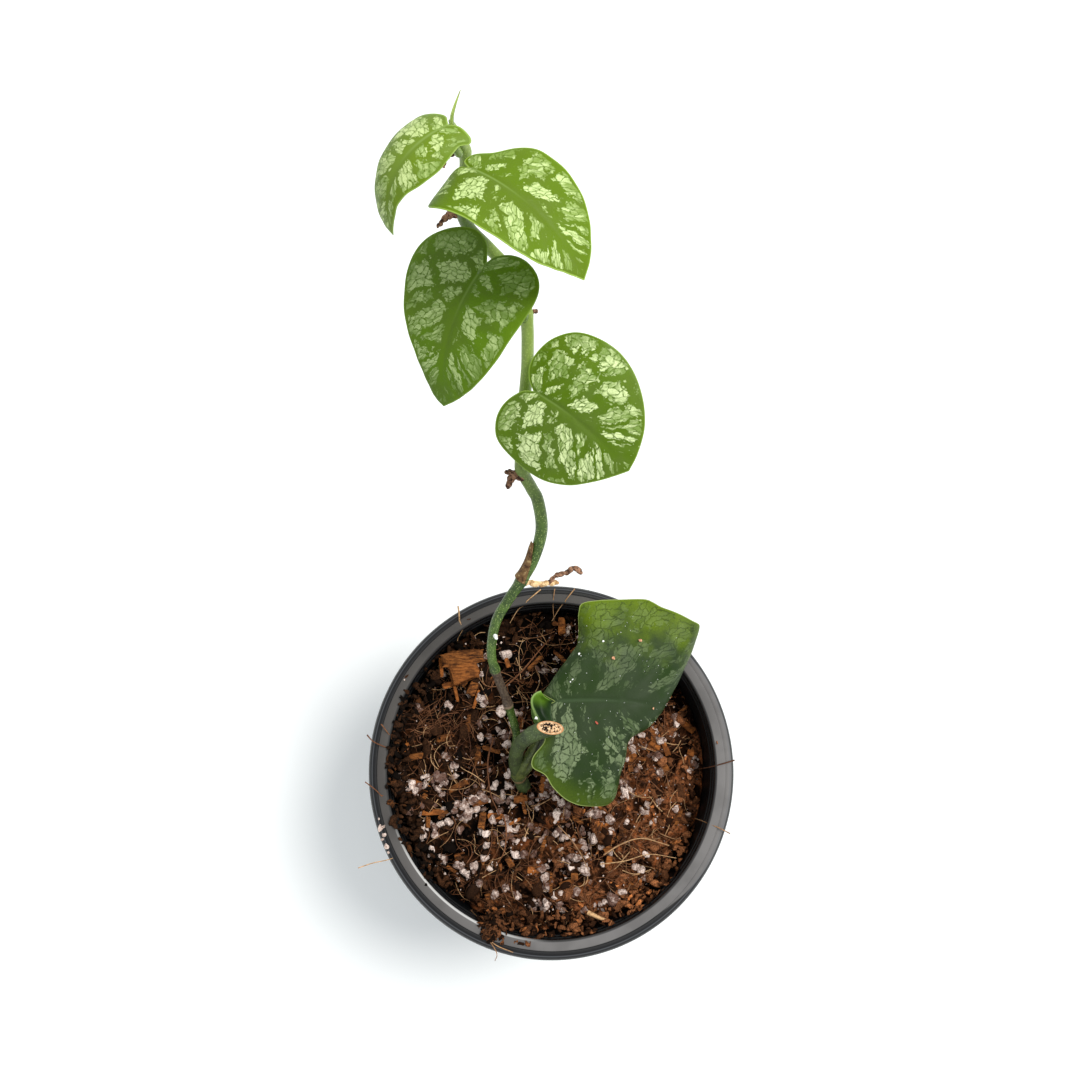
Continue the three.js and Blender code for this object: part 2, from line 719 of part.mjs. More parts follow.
const plant = new THREE.Group();
plant.add(piece('pot', makePot(), 0x1b1c1e, 0.42));
plant.add(piece('potting_mix', addBark(addPerlite(makeMixBody())).subtract(cuttingRoom), 0x3a2219, 0.95));
plant.add(piece('cutting_stem', makeCutting(), 0x46553a, 0.6));
plant.add(piece('vine_stem', makeVine().subtract(cuttingRoom), 0x5d7a3a, 0.5));
for (const leaf of LEAVES) {
  const solid = clearOfStems(makeBlade(leaf).add(makeStalkAndRib(leaf)));
  plant.add(piece(leaf.name, solid, leaf.colour, 0.4));
}
plant.add(piece('new_leaf_spike', makeSpike().subtract(vineRoom), 0x9dbf4e, 0.4));
plant.add(piece('node_sheath', makeSheath(), 0x7a5a3c, 0.8));
ROOTS.forEach((root, i) => {
  plant.add(piece(`aerial_root_${i + 1}`, makeRoot(root).subtract(vineRoom), 0x8a6a48, 0.85));
});

export default plant;
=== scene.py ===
import math
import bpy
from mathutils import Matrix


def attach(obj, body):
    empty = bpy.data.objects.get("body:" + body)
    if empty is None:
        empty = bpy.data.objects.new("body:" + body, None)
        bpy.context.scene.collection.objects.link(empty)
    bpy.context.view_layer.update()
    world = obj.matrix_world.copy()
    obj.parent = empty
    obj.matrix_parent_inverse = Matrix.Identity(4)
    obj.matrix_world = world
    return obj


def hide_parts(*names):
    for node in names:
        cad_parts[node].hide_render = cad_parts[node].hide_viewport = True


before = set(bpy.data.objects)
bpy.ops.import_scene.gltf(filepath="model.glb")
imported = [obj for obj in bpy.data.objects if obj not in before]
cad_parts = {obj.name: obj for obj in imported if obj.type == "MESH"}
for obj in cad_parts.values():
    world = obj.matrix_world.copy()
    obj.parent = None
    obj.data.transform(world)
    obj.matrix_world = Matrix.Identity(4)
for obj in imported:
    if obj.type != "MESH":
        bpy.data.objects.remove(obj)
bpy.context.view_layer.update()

from types import SimpleNamespace

import bmesh
import bpy
import numpy as np
from mathutils import Matrix, Vector, noise

# Sizes are in millimetres, as on the solids, and become metres when a mesh is made
MM = 0.001

POT_HEIGHT = 90.0
RIM_RADIUS = 53.2
MOUTH_RADIUS = 48.1
LIP_RADIUS = 50.5
BEND_ACROSS = 2.3
BEND_UP = 2.6
FLOOR_RADIUS = 35.5
FLOOR_TOP = 3.4
WALL = 1.4
SKIRT = 9.0
HOLE_COUNT = 8
HOLE_CIRCLE = 20.5
HOLE_RADIUS = 3.5

CAMERA_PLACE = (-3.4, -1.9, 386.5)
CAMERA_TILT = 13.1

MIX_LEVEL = 82.0
MIX_SLOPE = 0.045
CLEARANCE = 0.3

CUTTING_PATH = [
    (-8.6, -8.1, 64), (-7.9, -6.5, 78), (-9.6, -2.5, 87), (-10.2, 2.1, 96),
    (-8.6, 5.8, 105), (-5, 8, 112), (-0.2, 9.6, 116.5),
]

VINE_PATH = [
    (-10.7, 4.3, 94), (-10, 8.8, 95), (-12.3, 16.8, 102), (-15.4, 25, 115),
    (-16.2, 29.7, 121), (-14.8, 36.3, 127), (-11.5, 41.5, 131), (-8.1, 45.7, 135),
    (-5, 50.4, 139), (-2.9, 57, 144), (-3.8, 63.1, 149), (-5.5, 65.8, 152),
    (-7.6, 69.1, 157), (-7.8, 76.6, 163), (-6.6, 84.6, 170), (-6.1, 89.9, 176),
    (-6.4, 96, 184), (-9.3, 102.2, 190), (-13.7, 105.9, 194), (-17.4, 107.4, 199),
    (-18.9, 108.4, 202), (-19, 109.1, 205), (-18.2, 111.5, 211), (-17.6, 113, 218),
    (-18.1, 112.8, 221), (-18.8, 111.8, 226), (-19.2, 110.3, 231),
]
VINE_NODES = [0.082, 0.164, 0.3255, 0.5045, 0.7055, 0.8585, 0.93]
VINE_RADII = [
    (0, 1.15), (0.16, 1.2), (0.33, 1.4), (0.4, 1.55), (0.68, 1.42), (0.8, 1.3), (0.93, 1.05), (1, 0.7),
]
SHEATH_START = 0.329
SHEATH_END = 0.388

SPIKE_PATH = [(-19, 110.3, 230.6), (-18.6, 109.8, 233.5), (-17.7, 109, 237.5), (-16.5, 108.2, 242)]

LEAVES = {
    "cutting_leaf": SimpleNamespace(
        joint=(0.8, 17, 109.5), length=48.4, heading=-6.5, drop=1.2, roll=0,
        bow=1.0, curl=0.006, sway=2.3, ripple=0.5,
        left=[
            (47, 8), (44.5, 17), (42.5, 22), (40.5, 24.3), (36, 25.2), (31, 26.6), (27, 27.6),
            (24.5, 28.8), (22, 29.4), (15, 28.7), (9, 28.2), (4.6, 27.4), (3.9, 25), (2.8, 20.5),
            (-3, 16.5), (-7, 11), (-7, 6), (-3, 2),
        ],
        right=[
            (46.5, -6), (43, -14), (37, -21.5), (30, -27.5), (22, -30.8), (13.5, -30), (7, -27.8),
            (2.3, -23.7), (-0.3, -20), (-4, -17.5), (-4.2, -14.5), (-1.6, -10.8), (-2.2, -8),
            (-2.6, -5), (-2.2, -2.4), (-1.4, -0.6),
        ],
        folds=[
            dict(at=(16.3, -7.6), heading=-24.5, radius=8.5, angle=88, dents=((1.8, 4.4, 3), (-16, 7, -4))),
            dict(at=(12, -8), heading=-62, radius=35, angle=13),
            dict(at=(0, 0), heading=151, radius=4.5, angle=110, span=(-26, -12, -1, 5)),
        ],
        stalk=[(-9.6, -2.1, 88), (-7.3, 0.1, 93), (-4.7, 4.2, 98), (-2.4, 9, 102), (-0.8, 13.8, 106)],
        stalk_radius=(2.3, 1.5), slot="cutting_leaf",
    ),
    "vine_leaf_1": SimpleNamespace(
        joint=(-4.8, 80.8, 177), length=27.8, heading=-39.1, drop=8.3, roll=28,
        bow=1.7, curl=0.022, sway=1.6, ripple=0.35,
        left=[
            (26.8, 4), (24.4, 8.8), (20.5, 12.7), (15.6, 15.6), (9.8, 17.4), (4, 17.6),
            (-1, 16.1), (-4, 12.7), (-4.9, 8.8), (-4.4, 5), (-2.5, 2),
        ],
        right=[
            (25.9, -3.6), (23.4, -7.8), (19.5, -13), (14.6, -16.3), (9.3, -17.5), (4, -16.6),
            (0, -14.5), (-2.4, -11.3), (-3.5, -8), (-3.4, -4.5), (-2, -1.2),
        ],
        folds=[],
        stalk=[(-6.6, 68.5, 159.5), (-4.6, 72.6, 166), (-4.2, 76.7, 172)],
        stalk_radius=(1, 0.8), slot="vine_leaf",
    ),
    "vine_leaf_2": SimpleNamespace(
        joint=(-13.9, 96.5, 206), length=30.5, heading=-111.2, drop=31.6, roll=16,
        bow=3.8, curl=0.012, sway=-1.5, ripple=0.35,
        left=[
            (27.4, 4.1), (23.1, 8.1), (17.9, 11.1), (12.7, 12.6), (7.6, 13.7), (3.8, 13.9),
            (0.9, 12.7), (-1.4, 10.2), (-2.8, 6.6), (-2.8, 3.3), (-1.5, 0.8),
        ],
        right=[
            (29.2, -2.1), (25.5, -4.7), (21.2, -7.7), (17, -10.6), (12.3, -13.2), (7.6, -15.4),
            (3.3, -16.2), (-0.5, -15.2), (-3.3, -12.7), (-4.7, -9.4), (-4.7, -6.1), (-3, -2.4),
        ],
        folds=[],
        stalk=[(-6.6, 94.9, 183.5), (-7.4, 95.7, 191), (-10, 96.7, 199)],
        stalk_radius=(1, 0.8), slot="vine_leaf",
    ),
    "vine_leaf_3": SimpleNamespace(
        joint=(-16.6, 107.8, 221), length=30, heading=-42.8, drop=11.5, roll=-18,
        bow=3.7, curl=-0.004, sway=0.6, ripple=0.3,
        left=[
            (27.9, 3.8), (24.9, 6.7), (21.6, 9), (17.7, 10.8), (13.8, 12), (9.9, 12.3),
            (6.2, 11.8), (3.1, 9.5), (0.8, 6), (-1.5, 3.6), (-1.6, 1.1),
        ],
        right=[
            (26.6, -3.5), (23.1, -6.9), (19.7, -9.1), (15.8, -10.6), (11.8, -11.4), (7.9, -11.8),
            (4.4, -12.4), (1.5, -12.2), (-0.8, -10.5), (-2, -7.3), (-2, -4), (-1.4, -1),
        ],
        folds=[dict(at=(3, -7), heading=-150, radius=4, angle=55)],
        stalk=[(-18.2, 109.7, 202.5), (-16.9, 109.5, 209), (-16.6, 108.9, 215.5)],
        stalk_radius=(0.95, 0.75), slot="young_leaf",
    ),
    "vine_leaf_4": SimpleNamespace(
        joint=(-19.2, 106.7, 235), length=21.6, heading=-128.5, drop=36.9, roll=8,
        bow=5.4, curl=0.13, sway=-1.7, ripple=0.2,
        left=[
            (18.1, 1.5), (15.7, 2.2), (14.1, 2.9), (12.2, 3.9), (9.8, 5.3), (6.9, 6.1), (4.6, 5.9),
            (2.8, 5.3), (1.7, 4.9), (0.7, 5.5), (-0.1, 4.8), (-0.6, 3.2), (-0.7, 1.4),
        ],
        right=[
            (21.1, -2.2), (20, -4), (18.3, -5.2), (16, -5.5), (13, -5.7), (10, -6.3),
            (7.7, -7.1), (5.3, -7.8), (3.5, -7.7), (1.8, -6.5), (0, -4), (-0.7, -1.9),
        ],
        folds=[],
        stalk=[(-18.6, 111.7, 219.5), (-20, 110.3, 226), (-19.9, 108.5, 231.5)],
        stalk_radius=(0.85, 0.65), slot="young_leaf",
    ),
}

ROOTS = {
    "aerial_root_1": [
        ([(-8.1, 45.7, 135), (-4.3, 45.3, 133.5), (-1, 45.7, 132), (1.4, 46, 131)], (0.9, 0.55)),
        ([(-1, 45.7, 132), (1, 47.7, 132.4), (3.4, 48.3, 132.6), (5.6, 49.7, 132.4), (7.4, 48.5, 131.8)],
         (0.6, 0.7)),
    ],
    "aerial_root_2": [
        ([(-7.4, 67.6, 155.5), (-9.4, 67.8, 155.5), (-10.6, 66.3, 155), (-10.9, 65, 154.4)], (1.3, 0.6)),
        ([(-9.4, 67.8, 155.5), (-10.6, 68.5, 155.8), (-11.4, 68.3, 155.6)], (0.8, 0.45)),
    ],
    "aerial_root_3": [
        ([(-6.5, 96.1, 183.6), (-4.7, 96.7, 183.8), (-3.9, 96.9, 183.4)], (0.6, 0.35)),
    ],
    "aerial_root_4": [
        ([(-19.7, 109, 203.5), (-21.4, 108.7, 203.4), (-22.9, 107.7, 203), (-24.1, 106.3, 202.4)],
         (1.1, 0.3)),
    ],
    "aerial_root_5": [
        ([(-18, 112.9, 218.6), (-20.2, 112.2, 218.6), (-21.4, 111.1, 218.2), (-21.5, 110, 217.6)],
         (0.75, 0.3)),
    ],
}

# How far the side veins run back into the lobes
VEIN_BACK = 0.3

# How far the left half's side veins are shifted against the right half's, in veins
LEFT_SHIFT = 0.37

# Number helpers


def smooth(value):
    t = np.clip(value, 0, 1)
    return t * t * (3 - 2 * t)


def ramp(table, t):
    """A value that goes smoothly from each row of the table to the next."""
    xs = [row[0] for row in table]
    ys = [row[1] for row in table]
    value = np.full_like(np.asarray(t, float), ys[0])
    for k in range(1, len(xs)):
        share = smooth((t - xs[k - 1]) / (xs[k] - xs[k - 1]))
        value = value + (ys[k] - ys[k - 1]) * share
    return value


def linear(red, green, blue):
    """A screen colour, 0 to 255, as the linear colour that a shader takes."""
    parts = np.array([red, green, blue]) / 255
    parts = np.where(parts <= 0.04045, parts / 12.92, ((parts + 0.055) / 1.055) ** 2.4)
    return (*[float(p) for p in parts], 1.0)


def seeded(seed):
    """The same draws as the solids use, so that the grains lie where theirs do."""
    state = seed
    while True:
        state = (state * 1664525 + 1013904223) % 4294967296
        yield state / 4294967296


def scatter(draw, radius):
    """A random place in a disc of this radius."""
    angle, reach = draw.uniform(0, 2 * math.pi), radius * math.sqrt(draw.uniform())
    return reach * math.cos(angle), reach * math.sin(angle)


def circle(sides):
    """Angles at equal steps once round."""
    return np.arange(sides) / sides * 2 * math.pi


def unit(vectors):
    """Vectors of length one in the same directions."""
    return vectors / np.linalg.norm(vectors, axis=-1, keepdims=True)


def spline(points, count):
    """Points at equal steps along a smooth curve through the given points."""
    p = np.array(points, float)
    p = np.vstack([2 * p[0] - p[1], p, 2 * p[-1] - p[-2]])
    t = np.linspace(0, 1, 60, endpoint=False)[:, None]
    dense = []
    for a, b, c, d in zip(p, p[1:], p[2:], p[3:]):
        square = 2 * a - 5 * b + 4 * c - d
        cube = 3 * b - a - 3 * c + d
        dense.append(0.5 * (2 * b + (c - a) * t + square * t**2 + cube * t**3))
    dense = np.vstack([*dense, p[-2]])
    steps = np.linalg.norm(np.diff(dense, axis=0), axis=1)
    travelled = np.concatenate([[0], np.cumsum(steps)])
    wanted = np.linspace(0, travelled[-1], count)
    return np.stack([np.interp(wanted, travelled, values) for values in dense.T], axis=1)


# Meshes


def mesh_piece(name, points, faces, materials, replaces=None, attributes=None, face_material=None):
    mesh = bpy.data.meshes.new(name)
    mesh.from_pydata((np.asarray(points) * MM).tolist(), [], [list(map(int, face)) for face in faces])
    mesh.update()
    for key, values in (attributes or {}).items():
        values = np.asarray(values, float)
        flat = values.ndim == 1
        layer = mesh.attributes.new(key, "FLOAT" if flat else "FLOAT_VECTOR", "POINT")
        layer.data.foreach_set("value" if flat else "vector", values.ravel())
    for material in materials:
        mesh.materials.append(material)
    if face_material is not None:
        mesh.polygons.foreach_set("material_index", np.asarray(face_material, np.int32))
    mesh.shade_smooth()
    piece = bpy.data.objects.new(name, mesh)
    bpy.context.scene.collection.objects.link(piece)
    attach(piece, "root")
    if replaces:
        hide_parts(replaces)
    return piece


def ring_faces(rows, sides, start=0, flip=False):
    """Faces that join closed rings of points, each ring to the next."""
    here = np.arange(sides)
    after = np.roll(here, -1)
    faces = np.stack([here, after, after + sides, here + sides], axis=1)
    if flip:
        faces = faces[:, [0, 3, 2, 1]]
    offsets = start + sides * np.arange(rows - 1)
    return (offsets[:, None, None] + faces).reshape(-1, 4)


def thin_sheet(outer, inner):
    """Points and faces of a closed sheet between two grids of points."""
    rows, columns, _ = outer.shape
    out, back = np.arange(2 * rows * columns).reshape(2, rows, columns)
    faces = []

    def join(*corners):
        faces.extend(np.stack(corners, axis=-1).reshape(-1, 4))

    join(out[:-1, :-1], out[1:, :-1], out[1:, 1:], out[:-1, 1:])
    join(back[:-1, :-1], back[:-1, 1:], back[1:, 1:], back[1:, :-1])
    for edge in (np.s_[:, 0], np.s_[::-1, -1], np.s_[0, ::-1], np.s_[-1, :]):
        join(out[edge][:-1], back[edge][:-1], back[edge][1:], out[edge][1:])
    return np.vstack([outer.reshape(-1, 3), inner.reshape(-1, 3)]), faces


def tube(centres, radii, sides, closed=True):
    """Points and faces of a tube, with how far along it and how far round it each point is.

    A closed tube has rounded ends. An open one is its rings alone.
    """
    centres = np.asarray(centres, float)
    count = len(centres)
    radii = np.broadcast_to(np.asarray(radii, float), (count,))
    rows = list(zip(centres, radii, unit(np.gradient(centres, axis=0)), np.arange(count) / (count - 1)))

    def rounded(row, reach):
        centre, radius, direction, share = row
        moved = centre + direction * radius * reach * 0.8
        return moved, radius * math.sqrt(1 - reach * reach), direction, share

    if closed:
        first = [rounded(rows[0], reach) for reach in (-0.92, -0.7, -0.35)]
        rows = first + rows + [rounded(rows[-1], reach) for reach in (0.35, 0.7, 0.92)]
    angles = circle(sides)
    normal = np.cross(rows[0][2], [0.13, 0.27, 0.95])
    points = []
    for centre, radius, direction, _ in rows:
        normal = unit(normal - direction * np.dot(normal, direction))
        across = np.cross(direction, normal)
        points.append(centre + radius * (np.cos(angles)[:, None] * normal + np.sin(angles)[:, None] * across))
    place = np.repeat([row[3] for row in rows], sides)
    turn = np.tile(angles, len(rows))
    faces = list(ring_faces(len(rows), sides))
    if not closed:
        return np.vstack(points), faces, place, turn
    end = len(rows) * sides
    for j in range(sides):
        k = (j + 1) % sides
        faces += [(end, k, j), (end + 1, end - sides + j, end - sides + k)]
    points = np.vstack([*points, rows[0][0], rows[-1][0]])
    return points, faces, np.append(place, [0, 1]), np.append(turn, [0, 0])


def unit_ball(subdivisions):
    ball = bmesh.new()
    bmesh.ops.create_icosphere(ball, subdivisions=subdivisions, radius=1)
    points = np.array([v.co[:] for v in ball.verts])
    faces = np.array([[v.index for v in face.verts] for face in ball.faces])
    ball.free()
    return points, faces


def random_direction(draw):
    return unit(draw.normal(size=3))


def pebble(ball, size, lumpy, draw):
    """A broken grain: a ball with flat faces cut off it, stretched, dented and turned."""
    points, faces = ball
    shape = points.copy()
    for _ in range(7):
        facing = random_direction(draw)
        over = np.maximum(shape @ facing - draw.uniform(0.5, 0.85), 0)
        shape = shape - 0.92 * over[:, None] * facing
    shape = shape * size
    for _ in range(3):
        wave = draw.normal(size=3) * 2.2
        shape = shape * (1 + lumpy * np.sin(points @ wave + draw.uniform(0, 6)))[:, None]
    axis = Vector(random_direction(draw))
    turned = Matrix.Rotation(draw.uniform(0, 2 * math.pi), 3, axis)
    return shape @ np.array(turned).T, faces


def crumb(ball, size, stretch, least, most, draw):
    """A crumb that is longer than it is wide."""
    return pebble(ball, size * np.array(stretch) * draw.uniform(least, most, 3), 0.22, draw)


def inside_wall(points):
    """Pulls what lies in the pot in from its wall. What hangs over the rim is left as it is."""
    reach = np.hypot(points[:, 0], points[:, 1])
    limit = inner_radius(points[:, 2]) - 0.4
    caught = (points[:, 2] < POT_HEIGHT - 0.2) & (reach < RIM_RADIUS - 2) & (reach > limit)
    scale = np.where(caught, limit / np.maximum(reach, 1), 1)
    return points * np.stack([scale, scale, np.ones(len(points))], axis=1)


class Heap:
    """Gathers many small shapes into one mesh, each vertex with its shape's own shade."""

    def __init__(self):
        self.points = []
        self.faces = []
        self.shades = []
        self.count = 0

    def add(self, shape, place, shade):
        points, faces = shape
        self.points.append(points + place)
        self.faces.extend(faces + self.count)
        self.shades.append(np.full(len(points), float(shade)))
        self.count += len(points)

    def piece(self, name, material, slot):
        points = np.vstack(self.points)
        if slot == "potting_mix":
            points = inside_wall(points)
        mesh_piece(name, points, self.faces, [material], None, {"shade": np.concatenate(self.shades)})


# Shader helpers


class Value:
    """One output of a shader node. It can be added to, subtracted from, multiplied, divided and stepped."""

    def __init__(self, nodes, socket):
        self.nodes = nodes
        self.socket = socket

    def __add__(self, other):
        return self.nodes.math("ADD", self, other)

    def __sub__(self, other):
        return self.nodes.math("SUBTRACT", self, other)

    def __mul__(self, other):
        return self.nodes.math("MULTIPLY", self, other)

    def __truediv__(self, other):
        return self.nodes.math("DIVIDE", self, other)

    def step(self, low, high):
        """0 below low, 1 above high, smooth between. low may be the larger one."""
        made = self.nodes.node("ShaderNodeMapRange", interpolation_type="SMOOTHSTEP")
        flip = float(low > high)
        for name, value in (("Value", self), ("From Min", min(low, high)), ("From Max", max(low, high)),
                            ("To Min", flip), ("To Max", 1 - flip)):
            self.nodes.feed(made.inputs[name], value)
        return Value(self.nodes, made.outputs["Result"])


class Nodes:
    """Short names for the shader nodes that the materials are built from."""

    def __init__(self, name):
        self.material = bpy.data.materials.new(name)
        self.material.use_nodes = True
        self.tree = self.material.node_tree
        self.shader = self.tree.nodes["Principled BSDF"]

    def node(self, kind, **settings):
        made = self.tree.nodes.new(kind)
        for key, value in settings.items():
            setattr(made, key, value)
        return made

    def feed(self, socket, value):
        if isinstance(value, Value):
            self.tree.links.new(value.socket, socket)
        elif value is not None:
            socket.default_value = value

    def made(self, node, inputs):
        """A node's first output, once its first inputs are fed."""
        for socket, value in zip(node.inputs, inputs):
            self.feed(socket, value)
        return Value(self, node.outputs[0])

    def math(self, operation, *values):
        return self.made(self.node("ShaderNodeMath", operation=operation), values)

    def larger(self, a, b):
        return self.math("MAXIMUM", a, b)

    def mix(self, share, a, b, blend="MIX"):
        """Colours of three numbers are as on a screen, 0 to 255. Those of four are as a shader takes them."""
        made = self.node("ShaderNodeMix", data_type="RGBA", blend_type=blend)
        self.feed(made.inputs["Factor"], share)
        for socket, colour in ((made.inputs[6], a), (made.inputs[7], b)):
            on_screen = isinstance(colour, tuple) and len(colour) == 3
            self.feed(socket, linear(*colour) if on_screen else colour)
        return Value(self, made.outputs[2])

    def attribute(self, name, output="Fac"):
        return Value(self, self.node("ShaderNodeAttribute", attribute_name=name).outputs[output])

    def split(self, vector):
        made = self.node("ShaderNodeSeparateXYZ")
        self.feed(made.inputs[0], vector)
        return [Value(self, output) for output in made.outputs]

    def join(self, x, y):
        return self.made(self.node("ShaderNodeCombineXYZ"), (x, y, 0.0))

    def place(self, scale=(1, 1, 1)):
        """Object coordinates in millimetres, stretched by scale."""
        coordinates = Value(self, self.node("ShaderNodeTexCoord").outputs["Object"])
        mapping = self.node("ShaderNodeMapping")
        mapping.inputs["Scale"].default_value = tuple(s / MM for s in scale)
        return self.made(mapping, (coordinates,))

    def texture(self, kind, vector, output, settings, **inputs):
        made = self.node(kind, **settings)
        self.feed(made.inputs["Vector"], vector)
        for name, value in inputs.items():
            made.inputs[name].default_value = value
        return Value(self, made.outputs[output])

    def noise(self, vector, scale, detail=3.0, rough=0.55, output="Fac"):
        inputs = {"Scale": scale, "Detail": detail, "Roughness": rough}
        return self.texture("ShaderNodeTexNoise", vector, output, {}, **inputs)

    def cells(self, vector, scale, output="Distance", random=1.0):
        return self.texture("ShaderNodeTexVoronoi", vector, output, {}, Scale=scale, Randomness=random)

    def flat_cells(self, vector, scale, random=1.0):
        """Flat cells of a net: how far the nearest border is, and two random numbers for each cell."""
        flat, inputs = {"voronoi_dimensions": "2D"}, {"Scale": scale, "Randomness": random}
        border = {"feature": "DISTANCE_TO_EDGE", **flat}
        gap = self.texture("ShaderNodeTexVoronoi", vector, "Distance", border, **inputs)
        lot, tint, _ = self.split(self.texture("ShaderNodeTexVoronoi", vector, "Color", flat, **inputs))
        return gap, lot, tint

    def shaken(self, vector, scale, rough, amount, place):
        """A place, moved about by noise of this amount."""
        moved = self.node("ShaderNodeVectorMath", operation="MULTIPLY_ADD")
        return self.made(moved, (self.noise(vector, scale, 4.0, rough, "Color"), amount, place))

    def bump(self, height, strength, distance):
        """distance is the height of a full step, in millimetres."""
        made = self.node("ShaderNodeBump")
        made.inputs["Strength"].default_value = strength
        made.inputs["Distance"].default_value = distance * MM
        self.feed(made.inputs["Height"], height)
        return Value(self, made.outputs["Normal"])

    def finish(self, colour, roughness, normal, specular):
        self.feed(self.shader.inputs["Base Color"], colour)
        self.feed(self.shader.inputs["Roughness"], roughness)
        self.shader.inputs["Specular IOR Level"].default_value = specular
        self.feed(self.shader.inputs["Normal"], normal)
        return self.material


# Materials


def pot_material():
    """Black moulded plastic. The rim's flat top has a painted grey sheen, lighter at the front right and
    reaching over the lit bend on the right. A painted highlight line runs round the bend, and the inner lip
    has a painted glint at the front left.
    """
    n = Nodes("pot_plastic")
    where = n.place()
    x, y, z = n.split(where)
    across = n.math("SQRT", x * x + y * y)
    grain = n.noise(where, 1.8, 4.0, 0.6)
    dust = n.noise(where, 0.55, 6.0, 0.7).step(0.58, 0.72)
    # Painted light: on the right the grey top reaches out over the rim's bend, where the bend is lit.
    right = x.step(28.0, 46.0)
    flat = (right * 0.9 + z).step(POT_HEIGHT - 0.5, POT_HEIGHT - 0.25)
    on_top = flat * (right * -1.9 + across).step(LIP_RADIUS + 0.1, LIP_RADIUS - 0.3)
    # Painted sheen: the flat top's grey, lighter towards the front right, where the light falls.
    lit_front_right = (x * 0.7 + y * -0.7).step(-40.0, 45.0)
    grey = n.mix(lit_front_right, (70, 67, 64), (108, 106, 105))
    grey = n.mix(n.noise(where, 0.07, 3.0).step(0.4, 0.6) * 0.3, grey, (46, 44, 43))
    colour = n.mix(dust * 0.15, (11, 12, 14), (44, 42, 40))
    colour = n.mix(on_top * 0.9, colour, grey)
    # Painted reflection: the inner lip's edge is painted pale at the front left, and dark grey elsewhere.
    lip = across.step(MOUTH_RADIUS + 0.05, MOUTH_RADIUS - 0.2) * z.step(POT_HEIGHT - 0.75, POT_HEIGHT - 0.5)
    glint_front_left = (x * -0.6 + y * -0.8).step(38.0, 47.0)
    colour = n.mix(lip * 0.8, colour, n.mix(glint_front_left, (24, 24, 25), (190, 190, 188)))
    # Painted highlight: a thin grey line round the rim's outer bend.
    bend = across.step(LIP_RADIUS + 1.1, LIP_RADIUS + 1.3) * across.step(LIP_RADIUS + 1.65, LIP_RADIUS + 1.45)
    bend = bend * z.step(POT_HEIGHT - 2.5, POT_HEIGHT - 1.5)
    colour = n.mix(bend * 0.45, colour, (92, 94, 98))
    scratch = n.noise(n.place((1.0, 1.0, 0.12)), 2.2, 2.0)
    rough = grain * 0.16 + on_top * 0.22 + scratch * 0.08 + 0.26
    return n.finish(colour, rough, n.bump(grain, 0.25, 0.05), 0.3)


def left_dark_right_pale(n, where, colour):
    """The mix is darker on the left and paler towards the right."""
    x, y, _ = n.split(where)
    # dry here is only the share from the darker left to the paler right.
    dry = (n.noise(where, 0.09, 3.0) * 50.0 + x + y * -0.3).step(0.0, 60.0)
    dark = n.mix(0.6, colour, (10, 5, 2))
    light = n.mix(1.0, colour, (2.8, 2.7, 2.65, 1), "MULTIPLY")
    light = n.mix(1.0, light, (26, 10, 3), "ADD")
    return n.mix(dry, dark, light)


def soil_material():
    n = Nodes("mix_soil")
    where = n.place()
    lumps = n.noise(where, 1.1, 8.0, 0.7)
    warm = n.noise(where, 0.3, 5.0, 0.65).step(0.5, 0.64)
    # Painted shade: near black in the low places between the lumps, where the bump sinks, as shade in the
    # crevices.
    colour = n.mix(lumps.step(0.4, 0.62), (13, 5, 1), (92, 57, 35))
    colour = n.mix(warm * 0.5, colour, (118, 66, 34))
    # Painted shade: the mix is near black where it lies deep, in its hollows and voids.
    colour = n.mix(n.attribute("hollow").step(0.05, 0.55), colour, (4, 2, 1))
    return n.finish(left_dark_right_pale(n, where, colour), 0.95, n.bump(lumps, 1.0, 0.8), 0.05)


def crumb_material():
    n = Nodes("mix_crumbs")
    where = n.place()
    shade = n.attribute("shade")
    grain = n.noise(where, 2.4, 6.0, 0.7)
    colour = n.mix(shade.step(0.1, 0.7), (14, 6, 2), (106, 68, 42))
    colour = n.mix(shade.step(0.86, 0.97), colour, (158, 98, 54))
    colour = n.mix(grain.step(0.42, 0.6) * 0.9, n.mix(0.7, colour, (9, 4, 2)), colour)
    return n.finish(left_dark_right_pale(n, where, colour), 0.9, n.bump(grain, 0.9, 0.4), 0.1)


def perlite_material():
    """Porous grey-white grains with pink-brown stains, some of them dirty all over."""
    n = Nodes("mix_perlite")
    where = n.place()
    pores = n.cells(where, 2.2)
    cloud = n.noise(where, 0.8, 6.0, 0.7)
    dirt = (cloud + n.attribute("shade") * 0.34).step(0.46, 0.82)
    colour = n.mix(pores.step(0.1, 0.42), (136, 108, 94), (232, 212, 200))
    colour = n.mix(dirt * 0.94, colour, (86, 50, 33))
    return n.finish(colour, 0.8, n.bump(cloud * 0.8 + pores, 0.9, 0.35), 0.35)


def fibre_material():
    n = Nodes("mix_fibres")
    shade = n.attribute("shade")
    grain = n.noise(n.place(), 1.5, 3.0)
    colour = n.mix(shade.step(0.0, 0.5), (50, 27, 16), (118, 76, 48))
    colour = n.mix(shade.step(0.55, 0.9), colour, (206, 166, 120))
    colour = n.mix(grain.step(0.6, 0.35) * 0.5, colour, (62, 32, 18))
    return n.finish(colour, 0.7, None, 0.2)


